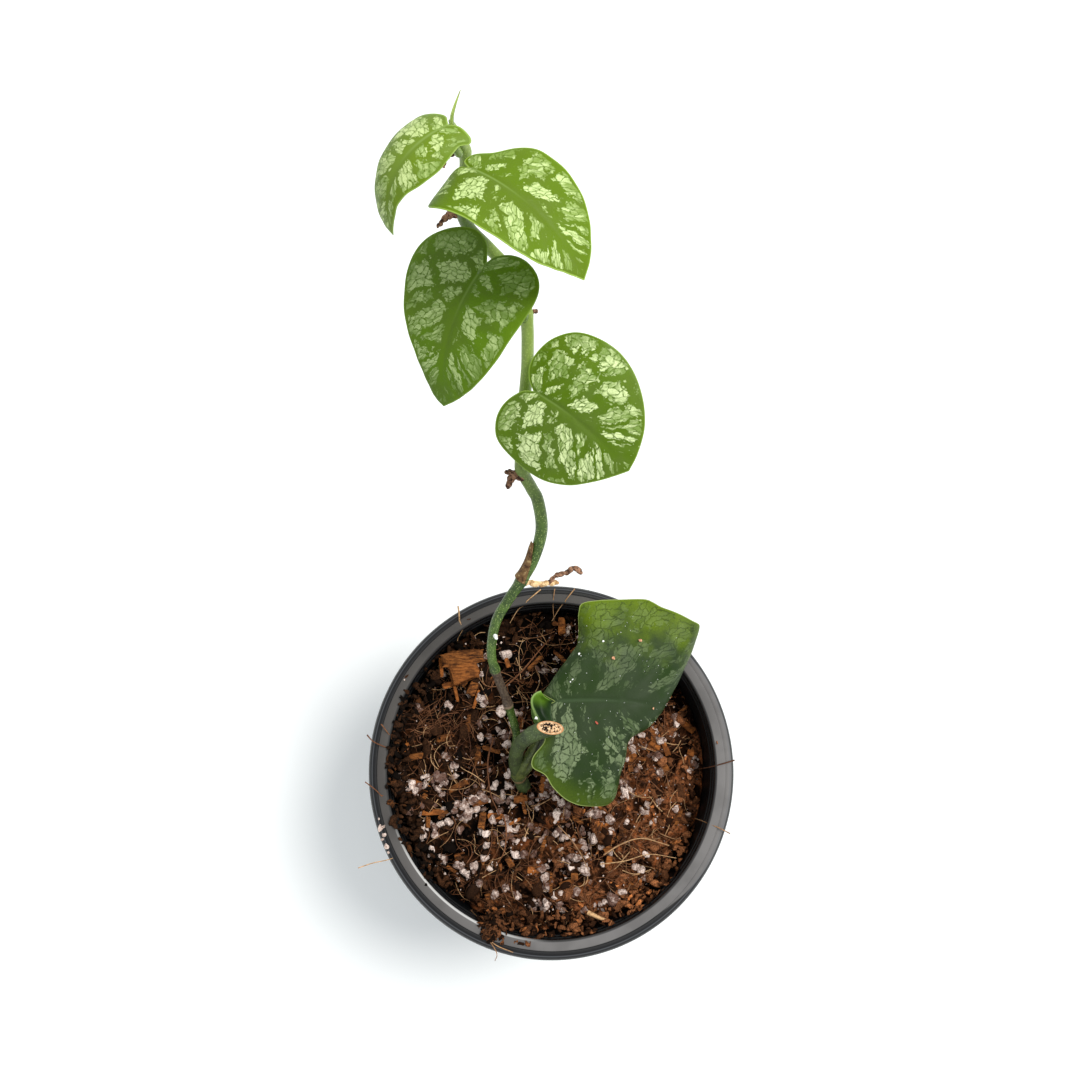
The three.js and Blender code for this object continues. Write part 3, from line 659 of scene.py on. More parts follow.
def bark_material():
    n = Nodes("mix_bark")
    grain = n.noise(n.place((0.4, 2.2, 2.2)), 0.9, 6.0, 0.7)
    colour = n.mix(grain.step(0.36, 0.62), (48, 22, 8), (150, 92, 44))
    colour = n.mix(n.attribute("shade").step(0.5, 1.0) * 0.6, colour, (190, 112, 52))
    colour = n.mix(n.noise(n.place(), 0.4, 3.0).step(0.55, 0.35) * 0.6, colour, (34, 17, 9))
    return n.finish(colour, 0.8, n.bump(grain, 1.0, 0.6), 0.15)


def blade_fields(n, look):
    """Where a point of a blade lies: along it, across it, on which side vein, and how far out."""
    b = SimpleNamespace(flat=n.attribute("flat", "Vector"), edge=n.attribute("edge"))
    b.u, b.v, _ = n.split(b.flat)
    b.side = n.math("ABSOLUTE", b.v)
    wobble = n.noise(b.flat, 7.0, 2.0) * 0.06 + -0.03
    b.vein = (b.side * VEIN_BACK + b.u) / (b.side * look.fan + 1.0) + wobble
    b.out = b.side / (b.edge * (1 / look.length) + (b.side + 0.001))
    return b


def silver_share(n, look, b):
    """How likely the skin is silver, in ragged patches between the side veins."""
    count = b.vein * look.veins + n.math("GREATER_THAN", b.v, 0.0) * LEFT_SHIFT
    reach = b.out.step(look.inner, look.inner + 0.16) * b.edge.step(0.25, 1.1)
    patch = n.shaken(b.flat, 11.0, 0.6, (0.85, 0.6, 0), n.join(count, b.v * look.rows))
    gap, lot, b.patch_tint = n.flat_cells(patch, 1.0, 0.85)
    ragged = n.noise(b.flat, 34.0, 4.0, 0.7) * 0.24 + -0.12
    inside = (gap + ragged).step(look.gap - 0.03, look.gap + 0.14)
    present = lot.step(look.missing - 0.06, look.missing + 0.06)
    return inside * reach * (present * 0.85 + 0.15) * look.cover


def silver_net(n, look, b, likely):
    """The silver cells of the net, whole and fine ones, and a few round dots."""
    place = n.join(b.vein * (look.length / look.cell[0]), b.v * (look.length / look.cell[1]))
    net = n.shaken(b.flat, 30.0, 0.65, (0.9, 0.8, 0), place)
    b.gap, lot, b.tint = n.flat_cells(net, 1.0)
    b.fine_gap, fine_lot, _ = n.flat_cells(net, 3.1)
    b.chosen = (likely - lot).step(-0.02, 0.06)
    kept = (likely * 1.35 - fine_lot).step(-0.05, 0.1)
    stray = (likely * 0.5 - fine_lot).step(0.0, 0.06) * 0.55
    whole = b.gap.step(0.02, 0.15) * (b.fine_gap.step(0.0, 0.1) * 0.4 + 0.6)
    silver = b.chosen * (kept * 0.8 + 0.2) * whole
    silver = n.larger(silver, stray * b.fine_gap.step(0.02, 0.12))
    dot_lot, _, _ = n.split(n.cells(b.flat, look.length * 1.5, "Color"))
    dots = n.cells(b.flat, look.length * 1.5).step(0.3, 0.12) * dot_lot.step(0.84, 0.9)
    return n.larger(silver, dots * b.out.step(0.3, 0.7) * 0.6)


def leaf_green(n, look, b):
    """The green under the silver: clouds of green and of a greyer green that is a painted sheen, the brighter
    far side and rim, a painted sheen along the midrib, the midrib and the fine net.
    """
    # Painted sheen: the greyer green in clouds over the blade.
    base = n.mix(n.noise(b.flat, 3.2, 3.0).step(0.38, 0.62), look.green, look.dull)
    far_side = n.noise(b.flat, 7.0, 4.0) * 0.6 + (b.v + -0.3)
    bright = far_side.step(look.bright_from, look.bright_to) * look.bright_share
    b.bright = n.larger(bright, b.out.step(0.72, 1.0) * look.bright_rim)
    base = n.mix(b.bright, base, look.bright)
    # Painted sheen: a greyer band along the midrib towards the stalk.
    base = n.mix(b.side.step(0.06, 0.012) * b.u.step(1.0, 0.35) * 0.5, base, look.dull)
    thin = b.side.step(look.rib_width / look.length, 0.0) * b.u.step(look.rib_end, 0.1)
    base = n.mix(thin * look.rib_share, base, look.vein)
    lines = b.fine_gap.step(0.08, 0.0) * b.out.step(0.3, 0.7)
    base = n.mix(lines * look.net_share, base, look.net)
    return n.mix(b.chosen * b.gap.step(0.09, 0.01) * 0.6, base, look.net)


def leaf_material(name, look):
    """A blade's skin, laid out in the blade's own flat coordinates. Its underside is paler."""
    n = Nodes(name)
    b = blade_fields(n, look)
    silver = silver_net(n, look, b, silver_share(n, look, b))
    green = leaf_green(n, look, b)
    streak = n.noise(n.join(b.vein * 60.0, b.v * 14.0), 1.0, 3.0)
    lively = b.tint * 0.3 + (b.patch_tint * 0.3 + streak) + b.edge.step(3.0, 0.6) * -0.18
    paint = n.mix(lively.step(0.48, 1.0), look.silver, look.silver_bright)
    faded = b.bright * -look.bright_fade + look.strength
    # Painted shade: the silver is dimmed on the half of the blade where v is above 0.
    faded = faded * (b.v.step(-0.05, 0.12) * -look.far_fade + 1.0)
    colour = n.mix(silver * faded, green, paint)
    # The pale margin line is partly the leaf's own pale edge and partly a painted highlight along it.
    colour = n.mix(b.edge.step(0.3, 0.08) * look.margin_share, colour, look.margin)
    below = n.mix(b.fine_gap.step(0.0, 0.1), look.under_vein, look.under)
    colour = n.mix(n.attribute("under"), colour, below)
    height = silver * 0.5 + b.fine_gap.step(0.0, 0.2) * 0.35
    return n.finish(colour, silver * 0.08 + look.rough, n.bump(height, 0.35, 0.1), look.gloss)


def stem_material(name, light, dark, speck, dress=None, rough=0.45):
    """Green bark with dense pale flecks, and what dress paints over it."""
    n = Nodes(name)
    where = n.place()
    flecks = n.cells(n.place((1.0, 1.0, 0.8)), 2.1)
    fine = n.noise(where, 3.0, 3.0)
    colour = n.mix(n.noise(where, 0.35, 3.0).step(0.35, 0.65), dark, light)
    colour = n.mix(flecks.step(0.4, 0.2) * fine.step(0.3, 0.6), colour, speck)
    if dress:
        colour = dress(n, colour)
    return n.finish(colour, rough, n.bump(flecks * 0.6 + fine, 0.35, 0.12), 0.4)


def dress_vine(n, colour):
    """The brighter top, its shaded stretch, the dry brown stretch after the first node and its tan ring."""
    along = n.attribute("along")
    colour = n.mix(along.step(0.4, 0.6), colour, n.mix(0.5, colour, (160, 184, 84)))
    shaded = along.step(0.79, 0.81) * along.step(0.87, 0.855)
    colour = n.mix(shaded * 0.7, colour, (58, 84, 26))
    grain = n.noise(n.place((1.0, 1.0, 0.3)), 2.2, 4.0)
    brown = n.mix(grain.step(0.35, 0.65), (58, 46, 38), (98, 84, 70))
    colour = n.mix(along.step(0.079, 0.083) * along.step(0.166, 0.162), colour, brown)
    ring = along.step(0.0765, 0.079) * along.step(0.084, 0.0815)
    return n.mix(ring * 0.8, colour, (148, 124, 104))


def dress_stalk(n, colour):
    """The channel down the upper face of the old leaf's stalk, darkened with painted shade in the groove."""
    return n.mix(n.attribute("channel").step(0.2, 0.9) * 0.8, colour, (26, 34, 14))


def dress_cutting(n, colour):
    """The tan ring at the node."""
    along = n.attribute("along")
    tan = n.mix(n.noise(n.place(), 2.5, 3.0).step(0.4, 0.62), (96, 78, 48), (170, 140, 100))
    return n.mix(along.step(0.372, 0.382) * along.step(0.408, 0.398) * 0.85, colour, tan)


def cut_material():
    """The cut: a tan rim round pale pith, with dark holes where the pith has dried out."""
    n = Nodes("stem_cut")
    share = n.attribute("cut")
    where = n.place()
    pith = n.mix(n.noise(where, 1.6, 4.0).step(0.35, 0.65), (178, 138, 100), (236, 202, 160))
    holes = n.noise(where, 1.9, 1.0).step(0.54, 0.47) * share.step(0.84, 0.62)
    colour = n.mix(holes, pith, (22, 15, 10))
    colour = n.mix(share.step(0.88, 0.95), colour, (186, 132, 88))
    return n.finish(colour, 0.85, n.bump(n.math("SUBTRACT", 1.0, holes), 0.9, 0.4), 0.15)


def sheath_material():
    n = Nodes("sheath_skin")
    where = n.place()
    cloud = n.noise(where, 0.8, 4.0, 0.6)
    grain = n.noise(where, 3.4, 4.0, 0.65)
    colour = n.mix(cloud.step(0.36, 0.52), (66, 44, 26), (112, 84, 52))
    colour = n.mix(cloud.step(0.54, 0.68), colour, (162, 136, 92))
    colour = n.mix(grain.step(0.5, 0.3) * 0.55, colour, (66, 44, 26))
    return n.finish(colour, 0.8, n.bump(grain, 0.9, 0.25), 0.25)


def root_material():
    n = Nodes("root_skin")
    where = n.place()
    cloud = n.noise(where, 0.9, 4.0, 0.6)
    grain = n.noise(where, 3.0, 5.0, 0.7)
    dark = n.mix(cloud.step(0.38, 0.6), (58, 38, 28), (164, 124, 98))
    pale = n.mix(cloud.step(0.34, 0.6), (176, 134, 88), (238, 206, 156))
    colour = n.mix(n.attribute("shade"), dark, pale)
    colour = n.mix(grain.step(0.5, 0.34) * 0.6, colour, (62, 38, 24))
    return n.finish(colour, 0.85, n.bump(grain, 0.9, 0.3), 0.2)


def spike_material():
    n = Nodes("new_leaf")
    where = n.place()
    _, _, z = n.split(where)
    colour = n.mix(n.attribute("side").step(0.35, 0.65), (112, 138, 52), (206, 226, 118))
    colour = n.mix(n.noise(where, 1.2, 3.0).step(0.5, 0.7), colour, (176, 198, 96))
    colour = n.mix(z.step(239.0, 242.0), colour, (150, 160, 60))
    return n.finish(colour, 0.4, None, 0.45)


def hood_material():
    """Green outside, with painted shade inside the cup running to near black, and a pale line along the ridge
    where the sheet turns over.
    """
    n = Nodes("leaf_hood_skin")
    row = n.attribute("row")
    cloud = n.noise(n.place(), 1.2, 3.0)
    outside = n.mix(cloud.step(0.35, 0.65), (62, 92, 30), (84, 116, 48))
    # Painted shade inside the cup: yellow-green at the start of the run, near black further along, and dark
    # at the innermost rows.
    inside = n.mix(n.attribute("run").step(0.12, 0.6), (88, 124, 30), (20, 38, 14))
    inside = n.mix(row.step(2.3, 2.9), inside, (34, 56, 22))
    colour = n.mix(row.step(1.0, 1.3), outside, inside)
    # The pale ridge line is partly the leaf's own pale edge and partly a painted highlight along the fold.
    colour = n.mix(row.step(0.8, 0.95) * row.step(1.22, 1.05) * 0.85, colour, (140, 166, 92))
    return n.finish(colour, 0.5, n.bump(cloud, 0.3, 0.2), 0.2)


def speck_material():
    """Tan crumbs. The one with a low shade is red."""
    n = Nodes("speck_tan")
    colour = n.mix(n.noise(n.place(), 3.0, 4.0).step(0.35, 0.65), (168, 108, 78), (226, 178, 140))
    colour = n.mix(n.attribute("shade").step(0.6, 0.5), colour, (170, 84, 68))
    return n.finish(colour, 0.8, None, 0.2)


def white_material():
    n = Nodes("speck_white")
    colour = n.mix(n.noise(n.place(), 3.0, 4.0).step(0.3, 0.6), (206, 212, 204), (244, 246, 240))
    return n.finish(colour, 0.35, None, 0.5)


def floor_material():
    n = Nodes("floor_white")
    tone = n.mix(n.noise(n.place(), 0.01, 2.0), (0.88, 0.915, 0.915, 1), (0.9, 0.92, 0.92, 1))
    return n.finish(tone, 0.9, None, 0.1)


# The pot


def inner_radius(height):
    return FLOOR_RADIUS + (MOUTH_RADIUS - FLOOR_RADIUS) * (height - FLOOR_TOP) / (POT_HEIGHT - FLOOR_TOP)


def bend_height(steepness):
    """The height of a place on the rim's outer bend, with steepness 0 at its foot and 1 at its top."""
    return POT_HEIGHT - 0.35 - BEND_UP * (1 - steepness)


def rim_top(x, y):
    """The height of the rim's upper side at a place on it."""
    level = 1 - (RIM_RADIUS - math.hypot(x, y)) / BEND_ACROSS
    return POT_HEIGHT if level < 0.2 else bend_height(math.sqrt(max(1 - level * level, 0)))


def pot_profile():
    """The wall's outline from the middle of the underside, out, up, over the rim and down inside."""
    def outer(height):
        return inner_radius(height) + WALL

    skirt_bottom = POT_HEIGHT - SKIRT
    under = POT_HEIGHT - 1.8
    points = [
        (0.01, 0), (10.6, 0), (11.2, 0.15), (12.3, 1.8), (12.9, 2), (28.6, 2), (29.2, 1.8), (30.3, 0.15),
        (30.8, 0), (34.9, 0), (35.6, 0.3), (outer(1.6), 1.6), (outer(2.2), 2.2),
        (outer(40), 40), (outer(skirt_bottom), skirt_bottom), (outer(under), under),
        (RIM_RADIUS - 1.4, under), (RIM_RADIUS - 1.3, under - 0.3), (RIM_RADIUS - 1.3, skirt_bottom + 0.2),
        (RIM_RADIUS - 1.1, skirt_bottom), (RIM_RADIUS - 0.4, skirt_bottom),
        (RIM_RADIUS - 0.1, skirt_bottom + 0.3),
        (RIM_RADIUS, skirt_bottom + 0.8),
    ]
    for k in range(10):
        angle = k / 9 * math.pi / 2 * 0.92
        points.append((RIM_RADIUS - BEND_ACROSS * (1 - math.cos(angle)), bend_height(math.sin(angle))))
    points += [(LIP_RADIUS + 0.15, POT_HEIGHT - 0.45), (LIP_RADIUS, POT_HEIGHT - 0.3)]
    points += [(LIP_RADIUS - 0.15, POT_HEIGHT - 0.06), (LIP_RADIUS - 0.45, POT_HEIGHT)]
    points += [(MOUTH_RADIUS - 0.1, POT_HEIGHT - 0.1)]
    for k in range(1, 6):
        angle = k / 5 * math.pi / 2
        height = POT_HEIGHT - 0.1 - 0.55 * (1 - math.cos(angle))
        points.append((MOUTH_RADIUS - 0.1 - 0.55 * math.sin(angle), height))
    for ledge in (88.4, 86.2, 84.0):
        radius = inner_radius(ledge)
        points += [(radius + 0.05, ledge + 0.25), (radius - 0.25, ledge), (radius - 0.25, ledge - 0.6),
                   (radius, ledge - 0.9)]
    points += [(inner_radius(50), 50), (FLOOR_RADIUS, FLOOR_TOP), (0.01, FLOOR_TOP)]
    return points


def make_pot():
    sides = 256
    profile = np.array(pot_profile())
    rows = len(profile)
    angles = circle(sides)
    radius, height = profile[:, :1], profile[:, 1:]
    points = np.stack([radius * np.cos(angles), radius * np.sin(angles), height + 0 * angles], axis=2)
    end = rows * sides
    faces = [*ring_faces(rows, sides), range(sides)[::-1], range(end - sides, end)]
    pot = mesh_piece("pot_shell", points.reshape(-1, 3), faces, [pot_material()], "pot")
    drill_holes(pot)
    pot.data.set_sharp_from_angle(angle=math.radians(35))


def add_drill(angle):
    """A cylinder through the pot's floor, at one drainage hole."""
    centre = Vector((HOLE_CIRCLE * math.cos(angle), HOLE_CIRCLE * math.sin(angle), FLOOR_TOP)) * MM
    depth = 2.2 * FLOOR_TOP * MM
    bpy.ops.mesh.primitive_cylinder_add(vertices=40, radius=HOLE_RADIUS * MM, depth=depth, location=centre)
    return bpy.context.object


def drill_holes(pot):
    """Cuts the drainage holes through the pot's floor."""
    drills = [add_drill(angle) for angle in circle(HOLE_COUNT)]
    cutter = drills[0]
    with bpy.context.temp_override(active_object=cutter, selected_editable_objects=drills, object=cutter):
        bpy.ops.object.join()
    modifier = pot.modifiers.new("holes", "BOOLEAN")
    modifier.operation = "DIFFERENCE"
    modifier.solver = "EXACT"
    modifier.object = cutter
    whole = pot.data
    pot_now = pot.evaluated_get(bpy.context.evaluated_depsgraph_get())
    drilled = bpy.data.meshes.new_from_object(pot_now)
    pot.modifiers.clear()
    pot.data = drilled
    bpy.data.meshes.remove(whole)
    bpy.data.objects.remove(cutter, do_unlink=True)


# The potting mix

# How many of each small thing there are
SOLID_GRAINS = 46
SMALL_GRAINS = 440
TINY_GRAINS = 700
LOOSE_CRUMBS = 1750
BANK_TRIES = 1500
SPILLED_CRUMBS = 170
CLODS = 190
LOOSE_CHIPS = 90
LOOSE_FIBRES = 860

# A hollow's place, radius and depth
HOLLOWS = [(0, 34, 9, 5), (-12, -8, 4, 2.5), (39, 20, 5, 3), (-20, 38, 4, 2), (-33, 22, 5, 2)]


def mix_height(x, y):
    radius = np.hypot(x, y)
    angle = np.arctan2(y, x)
    near_wall = smooth((radius - 37) / 9)
    drop = 1.6 + 2.6 * np.cos(angle) + 1.4 * smooth(np.cos(angle + math.radians(130)) * 3 - 1.6)
    lumps = (
        0.6 * np.sin(0.36 * x + 1.3) * np.cos(0.31 * y - 0.4)
        + 0.45 * np.sin(0.42 * x - 0.3 * y + 2)
        + 0.3 * np.cos(0.25 * x + 0.47 * y)
    )
    return MIX_LEVEL - MIX_SLOPE * x + lumps - near_wall * drop


def clod_relief(x, y):
    """How far the mix's clods stand up from, or its voids sink below, its general level."""
    place = Vector((x, y, 3.7))
    big = noise.voronoi(place * 0.24)[0][0]
    small = noise.voronoi(place * 0.62)[0][0]
    clods = 1.5 * (0.55 - big) + 0.7 * (0.5 - small) + 0.9 * noise.fractal(place * 0.3, 0.8, 2.2, 4)
    void = smooth((noise.noise(place * 0.15) - 0.12) / 0.3)
    for hx, hy, radius, depth in HOLLOWS:
        void = void + depth / 2.6 * math.exp(-((math.hypot(x - hx, y - hy) / radius) ** 2))
    return clods - 2.6 * float(void)


def rough_height(x, y):
    """The mix's height with its clods, for one place."""
    return float(mix_height(x, y)) + clod_relief(x, y)


def make_mix_body():
    """The block of mix. Its top is finely broken, and hollow says how deep each point of it lies, which the
    mix's painted shade follows.
    """
    rings, sides = 130, 320
    edge = inner_radius(MIX_LEVEL - 4) - CLEARANCE
    angles = circle(sides)
    points, hollow = [], []

    def add(x, y):
        relief = clod_relief(x, y)
        points.append((x, y, float(mix_height(x, y)) + relief))
        hollow.append(0.3 - 0.3 * relief)

    add(0, 0)
    for ring in range(1, rings + 1):
        reach = edge * ring / rings
        for angle in angles:
            add(reach * math.sin(angle), -reach * math.cos(angle))
    for height in (70, 40, FLOOR_TOP + CLEARANCE):
        radius = inner_radius(height) - CLEARANCE
        points += [(radius * math.sin(angle), -radius * math.cos(angle), height) for angle in angles]
        hollow += [0] * sides
    faces = [(0, 1 + j, 1 + (j + 1) % sides) for j in range(sides)]
    faces += list(ring_faces(rings + 3, sides, 1, True))
    faces.append(range(len(points) - sides, len(points))[::-1])
    mesh_piece("mix_soil", points, faces, [soil_material()], "potting_mix", {"hollow": hollow})


def grain_places():
    """The places and sizes of the grains that the solid has."""
    draws = seeded(7)
    placed = []
    while len(placed) < SOLID_GRAINS:
        angle = next(draws) * 2 * math.pi
        reach = 43 * math.sqrt(next(draws))
        size = 1 + 0.9 * next(draws)
        keep = next(draws)
        x, y = reach * math.cos(angle), reach * math.sin(angle)
        lower_left = float(smooth((10 - y - 0.4 * x) / 30))
        if keep <= 0.25 + 0.75 * lower_left and math.hypot(x + 8, y + 4.9) >= 6:
            placed.append((x, y, size))
    return placed


def perlite_share(x, y):
    """How thick the perlite lies: most in a band at the lower left, and little on the mat of fibres."""
    patch = noise.noise(Vector((x * 0.13, y * 0.13, 1.5)))
    band = math.exp(-(((y + 14 + 0.1 * x) / 15) ** 2)) * float(smooth((22 - x) / 34))
    mat = math.exp(-(((x + 36) / 11) ** 2) - ((y - 14) / 11) ** 2)
    return 0.22 + 0.8 * band + 1.1 * patch - 0.8 * mat


def make_perlite():
    """The large grains stand where the solid's do. Small and tiny ones lie between them."""
    draw = np.random.default_rng(11)
    fine, coarse, tiny = unit_ball(3), unit_ball(2), unit_ball(1)
    heap = Heap()
    for x, y, size in grain_places():
        grain = pebble(fine, size * draw.uniform(0.75, 1.1, 3), 0.12, draw)
        heap.add(grain, (x, y, rough_height(x, y) + 0.2 * size), draw.uniform(0, 0.8))
    placed = 0
    while placed < SMALL_GRAINS:
        x, y = scatter(draw, 44.5)
        if draw.uniform() > perlite_share(x, y):
            continue
        size = 0.45 + 1.7 * draw.beta(2.0, 2.6)
        grain = pebble(fine if size > 1.25 else coarse, size * draw.uniform(0.7, 1.15, 3), 0.12, draw)
        heap.add(grain, (x, y, rough_height(x, y) + draw.uniform(-0.4, 0.35) * size), draw.uniform(0, 1))
        placed += 1
    for _ in range(TINY_GRAINS):
        x, y = scatter(draw, 45)
        size = draw.uniform(0.15, 0.42)
        grain = pebble(tiny, size * draw.uniform(0.7, 1.3, 3), 0.1, draw)
        heap.add(grain, (x, y, rough_height(x, y) + draw.uniform(0.1, 0.5)), draw.uniform(0, 0.9))
    heap.piece("mix_perlite", perlite_material(), "potting_mix")


# How far the mix is banked up against the wall, in mm, by the angle round the pot from the right
BANK = [
    (0, 0.5), (60, 0.5), (100, 0.5), (140, 2.5), (160, 6.5), (221, 7), (227, 0.5), (242, 0.5), (247, 9.5),
    (262, 9.5), (272, 7), (300, 8.5), (318, 8), (332, 4), (345, 0.5), (360, 0.5),
]

# The middle of the small heap that spills over the rim
SPILL = (-16.6, -44.3)


def make_crumbs():
    """Loose crumbs all over the mix, those banked against the wall, and larger clods."""
    draw = np.random.default_rng(23)
    ball, fine = unit_ball(2), unit_ball(3)
    heap, bank, clods = Heap(), Heap(), Heap()
    for _ in range(LOOSE_CRUMBS):
        x, y = scatter(draw, 45.2)
        size = 0.25 + 1.2 * draw.beta(1.3, 4)
        shape = crumb(ball, size, [1.7, 0.85, 0.65], 0.6, 1.3, draw)
        heap.add(shape, (x, y, rough_height(x, y) + draw.uniform(-0.2, 0.4) * size), draw.uniform(0, 1))
    bank_crumbs(bank, ball, draw)
    spill_crumbs(bank, ball, draw)
    for _ in range(CLODS):
        x, y = scatter(draw, 43.5)
        size = 1.0 + 1.7 * draw.beta(1.5, 3)
        clod = pebble(fine, size * draw.uniform(0.6, 1.25, 3), 0.24, draw)
        clods.add(clod, (x, y, rough_height(x, y) - 0.2 * size), draw.uniform(0, 0.72))
    for pile, name in ((heap, "mix_crumbs"), (bank, "mix_bank"), (clods, "mix_clods")):
        pile.piece(name, crumb_material(), "potting_mix")


def bank_crumbs(bank, ball, draw):
    """Crumbs piled up against the wall, most where the bank is high."""
    for _ in range(BANK_TRIES):
        angle = draw.uniform(0, 360)
        rise = float(ramp(BANK, np.array(angle)))
        if draw.uniform() > 0.1 + 0.12 * rise:
            continue
        share = draw.uniform()
        reach = 47.8 - 6 * share + (1.4 if rise > 9 and share < 0.15 else 0)
        x, y = reach * math.cos(math.radians(angle)), reach * math.sin(math.radians(angle))
        shape = crumb(ball, 0.35 + 1.1 * draw.beta(1.2, 3), [1.6, 0.9, 0.8], 0.7, 1.2, draw)
        height = min(float(mix_height(x, y)) + (1 - share) * rise, 89.4 if reach < 47.5 else 90.5)
        bank.add(shape, (x, y, height), draw.uniform(0, 0.95))


def spill_crumbs(bank, ball, draw):
    """The small heap that spills over the rim at the front left."""
    for _ in range(SPILLED_CRUMBS):
        dx, dy = draw.normal(0, 1.8, 2)
        x, y = SPILL[0] + dx, SPILL[1] + 1.1 * dy
        within = min(50.3 / math.hypot(x, y), 1)
        x, y = x * within, y * within
        shape = crumb(ball, 0.3 + 0.8 * draw.beta(1.3, 2.6), [1.7, 0.8, 0.7], 0.7, 1.2, draw)
        height = 87 + draw.uniform(0, 1) * 4.4 * math.exp(-(dx * dx + dy * dy) / 7)
        if math.hypot(x, y) > MOUTH_RADIUS - 0.8:
            height = max(height, POT_HEIGHT + 0.3)
        bank.add(shape, (x, y, height), draw.uniform(0, 1))


# The big bark chip's stacked pieces and splinters: place, size, turn, tilt, shade and rise
BIG_CHIPS = [
    (-26.5, 31.5, (12.4, 4.4, 1.8), 0.14, 0.2, 0.3, 1.1),
    (-26, 27.4, (8.4, 6, 2), 0.32, -0.12, 0.7, 0.8),
    (-23.6, 22.6, (4, 2.8, 1.4), 1.2, 0.2, 0.5, 0.6),
    (-33, 29, (1, 6.5, 0.8), 0.1, 0.1, 0.9, 1.3),
    (-28.6, 21.8, (0.9, 6.4, 0.7), 0.25, -0.1, 0.8, 0.8),
    (-22.4, 19.4, (0.9, 5.6, 0.7), -0.3, 0.1, 1.0, 0.9),
]


def make_bark():
    """The big chip's pieces, and loose chips all over the mix."""
    draw = np.random.default_rng(5)
    heap = Heap()

    def chip(ball, x, y, size, turn, lift, shade, rise=0.25):
        """A flat splintered block, ridged along its grain and ragged at its ends."""
        points, faces = ball
        shape = np.sign(points) * np.abs(points) ** 0.22
        shape = shape / np.abs(shape).max(0) * np.array(size) * 0.5
        phase = draw.uniform(0, 6, 4)
        ragged = 0.07 * np.sin(shape[:, 1] * 6 + phase[0]) + 0.05 * np.sin(shape[:, 1] * 13 + phase[1])
        shape[:, 0] *= 1 + ragged + 0.04 * np.sin(shape[:, 2] * 5 + phase[2])
        shape[:, 1] *= 1 + 0.08 * np.sin(shape[:, 0] * 1.9 + phase[3]) - 0.12 * shape[:, 0] / size[0]
        ridges = 0.1 * np.sin(shape[:, 1] * 8 + phase[1])
        ridges += 0.07 * np.sin(shape[:, 1] * 17 + shape[:, 0] * 0.7)
        shape[:, 2] += ridges * size[2] * 0.5
        tilt = Matrix.Rotation(turn, 3, "Z") @ Matrix.Rotation(lift, 3, "X")
        place = (x, y, float(mix_height(x, y)) + rise * size[2])
        heap.add((shape @ np.array(tilt).T, faces), place, shade)

    ball, small_ball = unit_ball(4), unit_ball(3)
    for big_chip in BIG_CHIPS:
        chip(ball, *big_chip)
    for _ in range(LOOSE_CHIPS):
        x, y = scatter(draw, 44)
        size = (draw.uniform(1.8, 6.5), draw.uniform(0.8, 2.2), draw.uniform(0.5, 1.2))
        chip(small_ball, x, y, size, draw.uniform(0, 3.1), draw.uniform(-0.5, 0.5), draw.uniform(0, 1))
    heap.piece("mix_bark", bark_material(), "potting_mix")


# Felted patches of fibre: place, spread, number of strands and heading
FIBRE_MATS = [(-36, 12, 5, 70, 0.5), (24, -22, 5, 36, -0.4), (-20, -36, 6, 34, 0.2), (30, 6, 4, 20, 1.4)]

